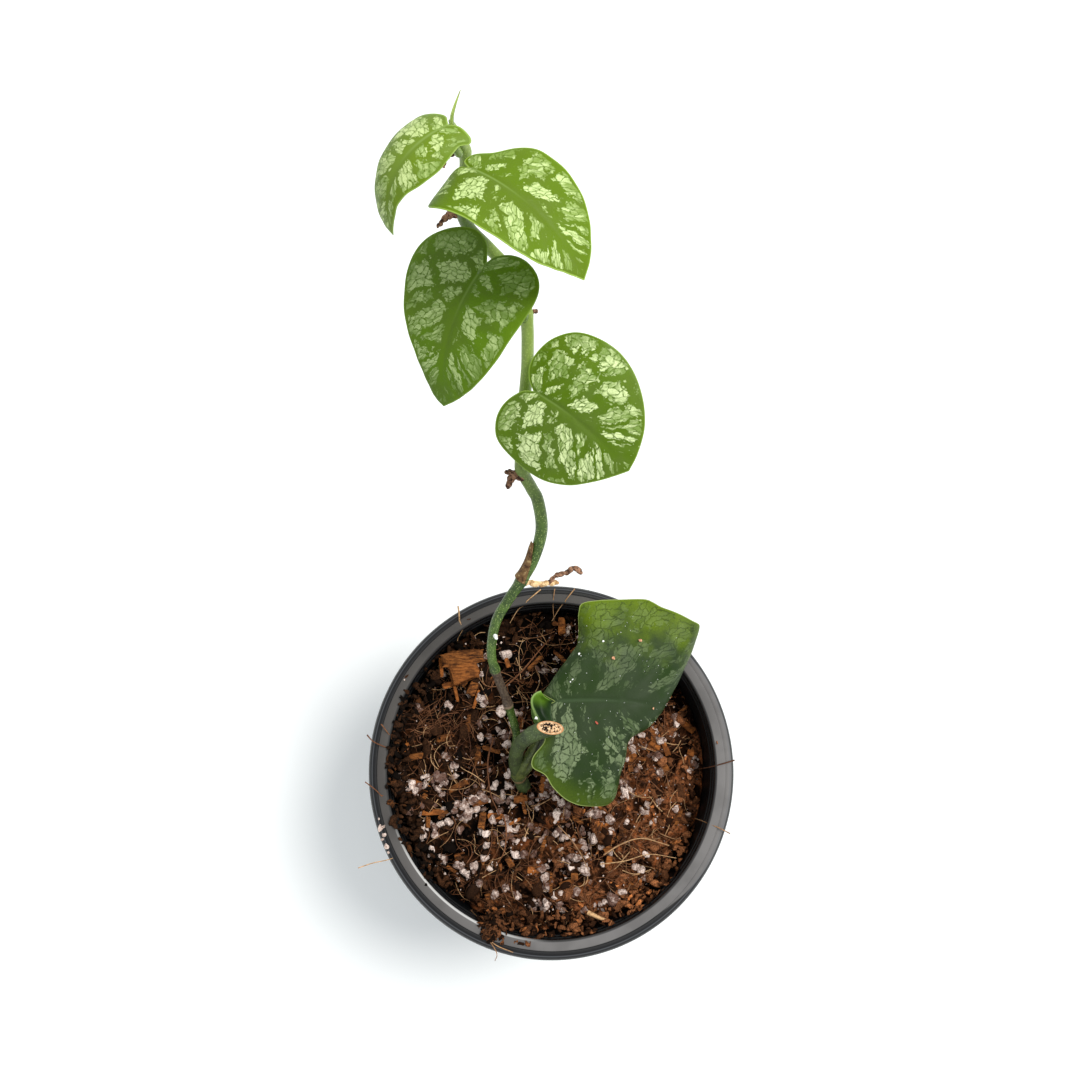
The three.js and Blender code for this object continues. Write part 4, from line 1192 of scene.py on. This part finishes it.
# Single long fibres that reach over the rim or stand up from the mix: points, radius and shade
STRAY_FIBRES = [
    ([(-27.6, 46.2, 92.4), (-27.3, 43.6, 91.4), (-27.5, 40.8, 88.5), (-28.3, 36.9, 84)], 0.26, 0.9),
    ([(-53.2, 8.6, 92.5), (-51.6, 6.8, 91.2), (-48.6, 5.4, 90.6), (-45.7, 4.2, 86), (-43, 4, 83)], 0.2, 0.35),
    ([(-49.3, 11.7, 92), (-47.9, 9.8, 90.9), (-46, 6.4, 87), (-44.2, 2.6, 83)], 0.18, 0.6),
    ([(-54.3, -28.1, 92), (-50.6, -26.9, 91), (-46.2, -26, 90.4), (-42.8, -25, 86), (-39, -25, 83)],
     0.16, 0.85),
    ([(-53.4, -4.6, 91.4), (-50.4, -6.9, 90.6), (-47.6, -9.7, 89), (-44.6, -11, 84)], 0.17, 0.5),
    ([(-19.4, -43, 82.5), (-18.3, -46.4, 88), (-15.6, -48.6, 90.6), (-10.7, -50.6, 90.4)], 0.24, 0.75),
    ([(-24, -42, 82.5), (-20.2, -45.4, 87), (-17.3, -47.6, 90.5), (-15.2, -50.8, 90.7), (-15.8, -53, 89)],
     0.2, 0.7),
    ([(52.9, 1.5, 91.2), (49.2, 0.4, 90.6), (46.3, -0.4, 88), (43.6, -1, 83)], 0.22, 0.2),
    ([(50.8, -18.9, 90.6), (47.4, -17.2, 90.5), (44.4, -15.9, 87), (42, -15, 83)], 0.18, 0.7),
    ([(-3, 51.4, 91.4), (-6.5, 48.6, 90.6), (-9.8, 46.1, 87), (-12.4, 42.4, 84)], 0.2, 0.85),
    ([(7.2, 51.6, 91.6), (4.9, 48.9, 90.6), (2.6, 46.3, 87), (0.4, 43, 84)], 0.19, 0.75),
    ([(1.2, 51.7, 91), (0.9, 49.6, 90.6), (0.7, 47.2, 88), (1, 43, 84)], 0.15, 0.7),
    ([(15, -25, 86.6), (20, -22, 87.6), (26, -20.4, 87.4), (34, -22.5, 85.6)], 0.24, 0.75),
    ([(14, -27.6, 86), (21, -26.6, 87.4), (28, -24.8, 87.2), (36, -26, 85)], 0.16, 0.85),
    ([(2, -17, 86), (5, -20, 87.4), (8, -24, 87.4), (11, -30, 85.5)], 0.18, 0.7),
    ([(-14, -14, 84.6), (-13, -18, 86.6), (-13.5, -24, 86.8), (-16, -28, 85)], 0.3, 0.45),
    ([(-17, 8, 84.6), (-18.5, 1, 87), (-17.6, -8, 86.6), (-15, -14, 84.6)], 0.32, 0.3),
    ([(-15, 22, 84), (-9, 27, 87.6), (-4, 33, 87), (0, 38, 83)], 0.3, 0.4),
    ([(10.4, -41, 83.4), (13.8, -42.4, 84), (17.2, -43.6, 83.6)], 0.75, 1.0),
]


def make_fibres():
    draw = np.random.default_rng(31)
    heap = Heap()

    def strand(points, radius, shade, steps=13):
        thin = np.linspace(1.0, 0.5, steps)
        shape, faces, _, _ = tube(spline(points, steps), radius * thin, 5, False)
        heap.add((shape, np.array(faces)), 0, shade)

    def wander(x, y, heading, length, turn, lift, arch, radius, shade):
        points = []
        for share in (0, 0.33, 0.66, 1):
            height = rough_height(x, y) + lift + arch * math.sin(share * math.pi)
            points.append((x, y, height))
            x += math.cos(heading) * length / 3
            y += math.sin(heading) * length / 3
            heading += turn + draw.normal(0, 0.25)
            within = min(45 / math.hypot(x, y), 1)
            x, y = x * within, y * within
        strand(points, radius, shade)

    for _ in range(LOOSE_FIBRES):
        x, y = scatter(draw, 43.5)
        wander(x, y, draw.uniform(0, 6.28), 3 + 14 * draw.beta(1.3, 3), draw.normal(0, 0.4),
               draw.uniform(0.0, 0.8), draw.uniform(0.1, 1.4), draw.uniform(0.06, 0.17), draw.beta(1.5, 1.7))
    for x, y, spread, number, heading in FIBRE_MATS:
        for _ in range(number):
            wander(x + draw.normal(0, spread), y + draw.normal(0, 0.6 * spread),
                   heading + draw.normal(0, 0.6), draw.uniform(4, 10), draw.normal(0, 0.3),
                   draw.uniform(0.2, 1.4), draw.uniform(0.1, 0.8), draw.uniform(0.05, 0.1),
                   draw.uniform(0.2, 0.62))
    for points, radius, shade in STRAY_FIBRES:
        strand(points, radius, shade, 20)
    heap.piece("mix_fibres", fibre_material(), "potting_mix")
    make_rim_crumbs(draw)


# The places and sizes of what lies on the rim
RIM_PERLITE = [
    (-48.9, -17.4, 0.9), (-47.6, -19.2, 0.7), (-48.2, -20.6, 0.5), (-46.9, -22.6, 0.8), (-46.4, -24.2, 0.5),
    (-49.4, -14.9, 0.4), (-43.2, 24.6, 0.3),
]
RIM_BARK = [
    (-42.6, 25.6, 0.5), (-16.3, -46.7, 0.6), (-13.6, -47.9, 0.5), (-24.5, 42.6, 0.35), (48.2, 6.6, 0.4),
]


def make_rim_crumbs(draw):
    """Bits of perlite and bark that lie on the rim."""
    ball = unit_ball(3)
    white, brown = Heap(), Heap()
    for x, y, size in RIM_PERLITE:
        grain = pebble(ball, size * draw.uniform(0.7, 1.1, 3), 0.12, draw)
        white.add(grain, (x, y, rim_top(x, y) + 0.5 * size), 0.2)
    for x, y, size in RIM_BARK:
        grain = pebble(ball, size * np.array([1.7, 0.7, 0.5]), 0.15, draw)
        brown.add(grain, (x, y, rim_top(x, y) + 0.3 * size), 0.9)
    white.piece("rim_perlite", perlite_material(), "potting_mix")
    brown.piece("rim_crumbs", crumb_material(), "potting_mix")


# The stems


def cutting_radius(t):
    foot = 0.5 * (1 - smooth(t / 0.45))
    collar = 0.35 * np.exp(-(((t - 0.4) / 0.02) ** 2))
    waist = -0.1 * smooth((t - 0.8) / 0.2)
    return 2.0 + foot + collar + waist


def make_cutting():
    """The old stem. Its last stretch leans over into one long, level, slanting cut."""
    sides, count = 40, 160
    centres = spline(CUTTING_PATH, count)
    share = np.linspace(0, 1, count)
    points, faces, place, _ = tube(centres, cutting_radius(share), sides, False)
    slide = np.array([0.82, -0.16, 0.5])
    for i in range(count):
        ring = points[i * sides:(i + 1) * sides]
        level = float(smooth((share[i] - 0.74) / 0.26))
        ring += slide * ((centres[i, 2] - ring[:, 2]) / slide[2] * level)[:, None]
        ring -= np.array([0.35, 0, 0]) * level
    ring = points[-sides:]
    middle = ring.mean(0)
    rings = [points]
    cut = [np.zeros(len(points) - sides), np.ones(sides)]
    shrink = [0.94, 0.86, 0.74, 0.55, 0.3, 0.02]
    for size in shrink:
        inner = middle + (ring - middle) * size
        inner[:, 2] -= 0.4 * float(smooth((0.95 - size) / 0.3))
        rings.append(inner)
        cut.append(np.full(sides, size))
    end = ring_faces(len(shrink) + 1, sides, len(points) - sides)
    total = len(points) + len(shrink) * sides
    index = [0] * len(faces) + [1] * len(end) + [0, 1]
    faces = [*faces, *end, range(sides)[::-1], range(total - sides, total)]
    place = np.append(place, np.ones(len(shrink) * sides))
    skin = stem_material("cutting_skin", (70, 86, 44), (46, 58, 32), (104, 120, 78), dress_cutting, 0.5)
    attributes = {"along": place, "cut": np.concatenate(cut)}
    mesh_piece("cutting_old_stem", np.vstack(rings), faces, [skin, cut_material()],
               "cutting_stem", attributes, index)


def vine_radius(t):
    swelling = sum(0.28 * np.exp(-(((t - node) / 0.008) ** 2)) for node in VINE_NODES)
    tip = 1 - 0.55 * smooth((t - 0.985) / 0.015)
    return ramp(VINE_RADII, t) * tip + swelling


def make_vine():
    count = 620
    points, faces, place, _ = tube(spline(VINE_PATH, count), vine_radius(np.linspace(0, 1, count)), 36)
    skin = stem_material("vine_skin", (72, 98, 36), (46, 68, 24), (136, 154, 88), dress_vine, 0.42)
    mesh_piece("vine_green_stem", points, faces, [skin], "vine_stem", {"along": place})


def make_spike():
    share = np.linspace(0, 1, 60)
    points, faces, _, turn = tube(spline(SPIKE_PATH, 60), 0.36 * (1 - share) ** 0.8 + 0.05, 24)
    attributes = {"side": 0.5 + 0.5 * np.cos(turn - 0.6)}
    mesh_piece("rolled_new_leaf", points, faces, [spike_material()], "new_leaf_spike", attributes)


# The leaves


def fold_over(p, at, heading, radius, angle, dents=(), span=None):
    """Rolls what lies past a line across the leaf down round a cylinder of this radius."""
    ax, ay = math.cos(math.radians(heading)), math.sin(math.radians(heading))
    dx, dy = p[:, 0] - at[0], p[:, 1] - at[1]
    along = -dx * ay + dy * ax
    dent = sum(depth * np.exp(-(((along - centre) / width) ** 2)) for centre, width, depth in dents)
    past = dx * ax + dy * ay + dent
    turn = np.full(len(p), math.radians(angle))
    if span:
        a, b, c, d = span
        turn = turn * smooth((along - a) / (b - a)) * smooth((d - along) / (d - c))
    rolled = np.minimum(np.maximum(past, 0) / radius, turn)
    rest = past - radius * rolled
    reach = (radius + p[:, 2]) * np.sin(rolled) + rest * np.cos(rolled) - dent
    rise = (radius + p[:, 2]) * np.cos(rolled) - radius - rest * np.sin(rolled)
    moved = np.stack([at[0] + reach * ax - along * ay, at[1] + reach * ay + along * ax, rise], axis=1)
    return np.where((past > 0)[:, None], moved, p)


def vein_place(leaf, x, y):
    """Which side vein a place lies on, as the vein's start along the midrib, 0 to 1."""
    side = np.abs(y) / leaf.length
    return (x / leaf.length + VEIN_BACK * side) / (1 + leaf.fan * side)


def leaf_points(leaf, x, y, relief=True):
    """The middle of the blade's thickness, from its flat coordinates."""
    t = x / leaf.length
    arch = 4 * t * (1 - t)
    wave = leaf.ripple * (y / (0.5 * leaf.length)) ** 2 * np.sin(11 * t + np.where(y > 0, 0, 1.9))
    z = (np.cos(leaf.curl * y) - 1) / leaf.curl + leaf.bow * arch + wave
    if relief:
        groove = -0.22 * np.exp(-((y / 0.7) ** 2)) * smooth((1 - t) / 0.6)
        count = vein_place(leaf, x, y) * leaf.veins + np.where(y > 0, LEFT_SHIFT, 0)
        z = z + groove - 0.07 * np.cos(2 * math.pi * count) * smooth(np.abs(y) / 4)
    p = np.stack([x, np.sin(leaf.curl * y) / leaf.curl + leaf.sway * arch, z], axis=1)
    for fold in leaf.folds:
        p = fold_over(p, **fold)
    return p


def leaf_normals(leaf, x, y):
    step = 0.05
    along = leaf_points(leaf, x + step, y, False) - leaf_points(leaf, x - step, y, False)
    across = leaf_points(leaf, x, y + step, False) - leaf_points(leaf, x, y - step, False)
    return unit(np.cross(along, across))


def leaf_frame(leaf, points):
    """Leaf coordinates to the part's own."""
    heading, drop, roll = (math.radians(angle) for angle in (leaf.heading, leaf.drop, leaf.roll))
    forward = np.array([
        math.cos(heading) * math.cos(drop), math.sin(heading) * math.cos(drop), -math.sin(drop),
    ])
    left = unit(np.cross((0, 0, 1), forward))
    up = np.cross(forward, left)
    left, up = left * math.cos(roll) + up * math.sin(roll), up * math.cos(roll) - left * math.sin(roll)
    return np.array(leaf.joint) + points @ np.stack([forward, left, up])


def leaf_margin(leaf, count):
    def side(points):
        return spline([(leaf.length, 0), *points, (0, 0)], count)

    return np.vstack([side(leaf.left), side(leaf.right)[::-1][1:-1]])


def distance_to(margin, flat):
    """How far each flat point is from the leaf's margin."""
    nearest = np.full(len(flat), 1e9)
    for a, b in zip(margin, np.roll(margin, -1, axis=0)):
        span = b - a
        t = np.clip(((flat - a) @ span) / max(span @ span, 1e-9), 0, 1)
        nearest = np.minimum(nearest, np.linalg.norm(flat - a - t[:, None] * span, axis=1))
    return nearest


def blade_faces(rings, count):
    """Faces of a blade: rings round a middle point on the upper and on the lower side, and the margin."""
    below = 1 + rings * count
    here = np.arange(count)
    after = np.roll(here, -1)
    last = below - count
    upper = ring_faces(rings, count, 1, True)
    fan = np.stack([0 * here, 1 + here, 1 + after], axis=1)
    rim = np.stack([last + here, below + last + here, below + last + after, last + after], axis=1)
    return [*fan, *(below + fan[:, ::-1]), *upper, *(below + upper[:, ::-1]), *rim]


def make_blade(name, leaf, material):
    half_thickness = 0.17
    rings = 34
    margin = leaf_margin(leaf, 120)
    heart = np.array([0.38 * leaf.length, 0])
    shares = smooth(np.linspace(0, 1, rings + 1)[1:] * 0.5 + 0.5) * 2 - 1
    flat = np.vstack([heart[None], *[heart + (margin - heart) * share for share in shares]])
    x, y = flat.T
    to_edge = distance_to(margin, flat)
    to_edge[-len(margin):] = 0
    middle = leaf_points(leaf, x, y)
    normal = leaf_normals(leaf, x, y)
    half = half_thickness * (0.45 + 0.55 * smooth(to_edge / 0.8))[:, None]
    rib = 0.4 * np.exp(-((y / 0.75) ** 2)) * smooth((1 - x / leaf.length) / 0.8) * smooth(to_edge / 1.5)
    top = leaf_frame(leaf, middle + normal * half)
    bottom = leaf_frame(leaf, middle - normal * (half + rib[:, None]))
    attributes = {
        "flat": np.tile(np.stack([x / leaf.length, y / leaf.length, 0 * x], axis=1), (2, 1)),
        "edge": np.tile(to_edge, 2),
        "under": np.repeat([0, 1], len(flat)),
    }
    points = np.vstack([top, bottom])
    faces = blade_faces(rings, len(margin))
    mesh_piece(f"{name}_blade", points, faces, [material], name, attributes)


def make_stalk(name, leaf, material):
    """The stalk, which goes on under the blade as its thickened midrib. Its upper face has a channel."""
    count, sides = 110, 32
    shares = np.array([0.02, 0.14, 0.28, 0.42, 0.56])
    x = shares * leaf.length
    start, end = leaf.stalk_radius
    beneath = 0.25 + end - (end - 0.3) * smooth(shares / shares[-1])
    under = leaf_points(leaf, x, 0 * x, False) - leaf_normals(leaf, x, 0 * x) * beneath[:, None]
    centres = spline([*leaf.stalk, *leaf_frame(leaf, under)], count)
    t = np.linspace(0, 1, count)
    radii = start + (end - start) * smooth(t / 0.45) - (end - 0.3) * smooth((t - 0.45) / 0.55)
    points, faces, place, _ = tube(centres, radii, sides)
    rings = points[:-2].reshape(-1, sides, 3)
    outward = rings - rings.mean(1, keepdims=True)
    upper = unit(outward) @ np.array([0.25, -0.55, 0.8])
    channel = smooth((upper - 0.8) / 0.2) * (1 - smooth((place[:-2].reshape(-1, sides) - 0.4) / 0.2))
    rings -= outward * (0.45 * channel)[:, :, None]
    attributes = {"along": place, "channel": np.append(channel, [0, 0])}
    mesh_piece(f"{name}_stalk", points, faces, [material], name, attributes)


DARK_LOOK = dict(
    veins=11.0, rows=2.2, fan=3.2, gap=0.07, missing=0.2, inner=0.1, cover=1.25, strength=0.5,
    cell=(0.85, 2.3), rough=0.5, gloss=0.12, green=(32, 52, 14), dull=(40, 54, 30), bright=(92, 114, 10),
    bright_from=0.2, bright_to=0.6, bright_share=0.9, bright_rim=0.35, bright_fade=0.15, far_fade=0.55,
    vein=(66, 86, 56), rib_width=0.9, rib_end=0.6, rib_share=0.4, net=(24, 38, 16), net_share=0.4,
    margin_share=0.75,
    silver=(78, 98, 58), silver_bright=(146, 162, 122), margin=(150, 166, 96),
    under=(118, 148, 62), under_vein=(104, 134, 56),
)
MID_LOOK = dict(
    veins=8.0, rows=3.5, fan=2.2, gap=0.075, missing=0.12, inner=0.08, cover=1.3, strength=0.92,
    cell=(0.72, 1.6), rough=0.42, gloss=0.14, green=(76, 104, 6), dull=(80, 104, 28), bright=(92, 120, 10),
    bright_from=0.2, bright_to=0.55, bright_share=0.4, bright_rim=0.3, bright_fade=0.0, far_fade=0.0,
    vein=(134, 158, 88), rib_width=0.4, rib_end=0.5, rib_share=0.35, net=(60, 84, 12), net_share=0.2,
    margin_share=0.5,
    silver=(118, 144, 70), silver_bright=(212, 228, 168), margin=(152, 180, 84),
    under=(146, 172, 84), under_vein=(130, 156, 72),
)
# vine_leaf_2's copy of MID_LOOK, recoloured for how the light falls on it: painted light in its brighter
# green, painted shade in its dimmer silver.
SHADED_LOOK = dict(
    MID_LOOK, green=(78, 110, 4), dull=(76, 102, 18), missing=0.08, gap=0.07, strength=0.86,
    silver=(104, 130, 60), silver_bright=(166, 186, 124), margin=(132, 160, 70),
)
YOUNG_LOOK = dict(
    MID_LOOK, veins=7.5, green=(86, 114, 4), dull=(86, 110, 20), bright=(98, 130, 8),
    silver=(122, 148, 66), silver_bright=(196, 216, 148), margin=(172, 200, 98),
    net=(72, 98, 10), missing=0.14, gap=0.085, rib_share=0.5,
)
NEW_LOOK = dict(
    YOUNG_LOOK, veins=6.5, rows=3.0, green=(96, 122, 20), dull=(100, 124, 40), missing=0.05, gap=0.04,
    cover=1.4, silver=(134, 160, 84), silver_bright=(194, 212, 144), margin=(160, 186, 98),
)
LOOKS = {
    "cutting_leaf": DARK_LOOK, "vine_leaf_1": MID_LOOK, "vine_leaf_2": SHADED_LOOK,
    "vine_leaf_3": YOUNG_LOOK, "vine_leaf_4": NEW_LOOK,
}


def make_leaves():
    green_stalk = stem_material("leaf_stalk", (112, 138, 62), (78, 104, 42), (150, 172, 100))
    dark_stalk = stem_material("old_leaf_stalk", (92, 104, 48), (62, 74, 34), (120, 128, 74), dress_stalk)
    for name, leaf in LEAVES.items():
        look = SimpleNamespace(**LOOKS[name], length=leaf.length)
        leaf.veins, leaf.fan = look.veins, look.fan
        make_blade(name, leaf, leaf_material(f"{name}_skin", look))
        make_stalk(name, leaf, dark_stalk if name == "cutting_leaf" else green_stalk)


# The cup that the old leaf's base makes round its stalk joint, in rows from outside to inside
HOOD = [
    [(-3, 19.5, 110.5), (-4.6, 18.8, 110), (-5.5, 17.6, 109.6), (-5.6, 15.8, 109.5), (-5.4, 13, 109.6),
     (-4.4, 10.3, 110)],
    [(-3, 19.5, 113), (-4.3, 18.9, 113.6), (-5.3, 17.7, 114), (-5.4, 16, 114.3), (-4.5, 13.9, 114.4),
     (-3, 11.2, 114)],
    [(-1.9, 18, 112), (-2.9, 17.6, 110.8), (-3.3, 16.3, 110.2), (-3.3, 14.6, 110), (-2.7, 13, 110),
     (-1.9, 11.7, 110.4)],
    [(0.2, 16.9, 111.6), (-0.2, 16.3, 110.9), (-0.3, 15.1, 110.4), (-0.2, 13.8, 110.2), (0.1, 12.4, 110.2),
     (0.4, 11.2, 110.4)],
]


def make_hood():
    """A thin curved sheet through the rows of the cup."""
    half_thickness = 0.12
    rows = [spline(row, 40) for row in HOOD]
    sheet = np.array([spline(column, 33) for column in zip(*rows)])
    normal = np.cross(np.gradient(sheet, axis=0), np.gradient(sheet, axis=1))
    normal /= np.linalg.norm(normal, axis=2, keepdims=True) + 1e-9
    points, faces = thin_sheet(sheet + half_thickness * normal, sheet - half_thickness * normal)
    row_place = np.tile(np.linspace(0, 3, 33), 80)
    run = np.tile(np.repeat(np.linspace(0, 1, 40), 33), 2)
    attributes = {"row": row_place, "run": run}
    mesh_piece("leaf_hood", points, faces, [hood_material()], None, attributes)


def on_blade(leaf, x, y, lift):
    """A place on a blade's upper face, from its flat coordinates."""
    x, y = np.array([x]), np.array([y])
    return leaf_frame(leaf, leaf_points(leaf, x, y) + leaf_normals(leaf, x, y) * lift)[0]


# Places and sizes on the old leaf, and of the droplets on the stems
LEAF_CRUMBS = [(21.8, 17.1, 0.6), (14.7, 11.6, 0.7), (26.7, -0.9, 0.42)]
LEAF_DROPLETS = [(11.6, 16.3, 0.34), (5.4, 12.8, 0.42), (5.9, 12.2, 0.25), (4.2, 5.7, 0.34), (3.7, 5.1, 0.22)]
STEM_DROPLETS = [((-14.9, 32.7, 126.6), 0.75), ((-4.3, 12.2, 114.9), 0.5)]
DUST_TRIES = 95


def make_specks():
    """What has fallen on the old leaf and the vine: tan crumbs, one red, droplets and white dust."""
    draw = np.random.default_rng(3)
    ball, dust_ball = unit_ball(3), unit_ball(1)
    leaf = LEAVES["cutting_leaf"]
    crumbs, dust, drops = Heap(), Heap(), Heap()
    for x, y, size in LEAF_CRUMBS:
        speck = pebble(ball, size * np.array([1, 0.8, 0.6]), 0.12, draw)
        crumbs.add(speck, on_blade(leaf, x, y, 0.3 + 0.3 * size), 0.9)
    red = pebble(ball, np.array([0.55, 0.3, 0.25]), 0.1, draw)
    crumbs.add(red, on_blade(leaf, 11.9, -6.1, 0.35), 0.3)
    for centre, size in STEM_DROPLETS:
        drops.add(pebble(ball, size * np.array([1, 0.8, 0.7]), 0.15, draw), centre, 1)
    for x, y, size in LEAF_DROPLETS:
        speck = pebble(ball, size * np.array([1, 1, 0.5]), 0.04, draw)
        drops.add(speck, on_blade(leaf, x, y, 0.22), 1)
    for _ in range(DUST_TRIES):
        x, y = draw.uniform(2, 34), draw.uniform(-22, 24)
        if abs(y) > 20 and x < 6:
            continue
        speck = pebble(dust_ball, draw.uniform(0.05, 0.13) * np.ones(3), 0.1, draw)
        dust.add(speck, on_blade(leaf, x, y, 0.2), 1)
    crumbs.piece("leaf_crumbs", speck_material(), "cutting_leaf")
    white = white_material()
    drops.piece("leaf_droplets", white, "cutting_leaf")
    dust.piece("leaf_dust", white, "cutting_leaf")


# The dry sheath and the aerial roots


def make_sheath():
    """A strip wrapped round part of the vine. It narrows and crinkles towards its far end."""
    rows, columns, steps = 60, 36, 2000
    centres = spline(VINE_PATH, steps + 1)
    tangents = unit(np.gradient(centres, axis=0))

    def layer(lift):
        grid = np.empty((rows + 1, columns + 1, 3))
        for i in range(rows + 1):
            share = i / rows
            t = SHEATH_START + (SHEATH_END - SHEATH_START) * share
            index = int(round(t * steps))
            east = unit(np.cross((0, 0, 1), tangents[index]))
            north = np.cross(tangents[index], east)
            half = math.radians(95) * (1 - 0.82 * share)
            angle = math.radians(142) + (2 * np.arange(columns + 1)[:, None] / columns - 1) * half
            crinkle = 0.07 * np.sin(9 * angle + 5 * share) * share
            radius = float(vine_radius(np.array(t))) + CLEARANCE + 0.15 * share + crinkle + lift
            grid[i] = centres[index] - east * radius * np.cos(angle) + north * radius * np.sin(angle)
        return grid

    points, faces = thin_sheet(layer(0.3), layer(0))
    mesh_piece("dry_sheath", points, faces, [sheath_material()], "node_sheath")


def root_strand(path, first, last):
    share = np.linspace(0, 1, 70)
    radii = (first + (last - first) * share) * (1 + 0.14 * np.sin(share * 23) + 0.12 * np.sin(share * 47 + 1))
    wander = 0.12 * np.stack([np.sin(share * 31), np.cos(share * 27), np.sin(share * 39 + 2)], axis=1)
    return tube(spline(path, 70) + wander * smooth(share * 5)[:, None], radii, 18)


def make_roots():
    """The dried roots. The first strand of the first one is pale."""
    dry = root_material()
    for name, strands in ROOTS.items():
        points, faces, shades = [], [], []
        for number, (path, (first, last)) in enumerate(strands):
            shape, shape_faces, _, _ = root_strand(path, first, last)
            faces += [[index + len(points) for index in face] for face in shape_faces]
            points.extend(shape)
            shades += [float(name == "aerial_root_1" and number == 0)] * len(shape)
        mesh_piece(f"{name}_dried", points, faces, [dry], name, {"shade": shades})


# Floor, light and camera


def make_floor():
    bpy.ops.mesh.primitive_plane_add(size=6, location=(0, 0, 0))
    floor = bpy.context.object
    floor.name = "floor"
    floor.data.materials.append(floor_material())


def make_light():
    world = bpy.data.worlds.new("studio")
    bpy.context.scene.world = world
    world.use_nodes = True
    background = world.node_tree.nodes["Background"]
    background.inputs["Color"].default_value = (0.96, 0.98, 1.0, 1)
    background.inputs["Strength"].default_value = 0.86
    lamp = bpy.data.lights.new("softbox", "AREA")
    lamp.shape = "DISK"
    lamp.size = 0.5
    lamp.energy = 13.8
    lamp.color = (1.0, 0.975, 0.94)
    key = bpy.data.objects.new("softbox", lamp)
    direction = Vector((0.43, 0.18, 0.9)).normalized()
    key.location = direction * 1.25 + Vector((0, 0, 0.08))
    key.rotation_mode = "QUATERNION"
    key.rotation_quaternion = direction.to_track_quat("Z", "Y")
    bpy.context.scene.collection.objects.link(key)


def make_camera():
    """Above the pot, and tilted a little off straight down."""
    sensor = 36.0
    focal_pixels, frame_pixels = 1000.0, 1079.0
    camera = bpy.data.cameras.new("camera")
    camera.sensor_width = sensor
    camera.lens = sensor * focal_pixels / frame_pixels
    camera.clip_start, camera.clip_end = 0.01, 20
    holder = bpy.data.objects.new("camera", camera)
    holder.location = Vector(CAMERA_PLACE) * MM
    holder.rotation_euler = (math.radians(CAMERA_TILT), 0, 0)
    bpy.context.scene.collection.objects.link(holder)
    bpy.context.scene.camera = holder


make_camera()
make_light()
make_floor()
make_pot()
make_mix_body()
make_perlite()
make_crumbs()
make_bark()
make_fibres()
make_cutting()
make_vine()
make_spike()
make_leaves()
make_hood()
make_specks()
make_sheath()
make_roots()

bpy.context.scene.view_settings.view_transform = "Standard"
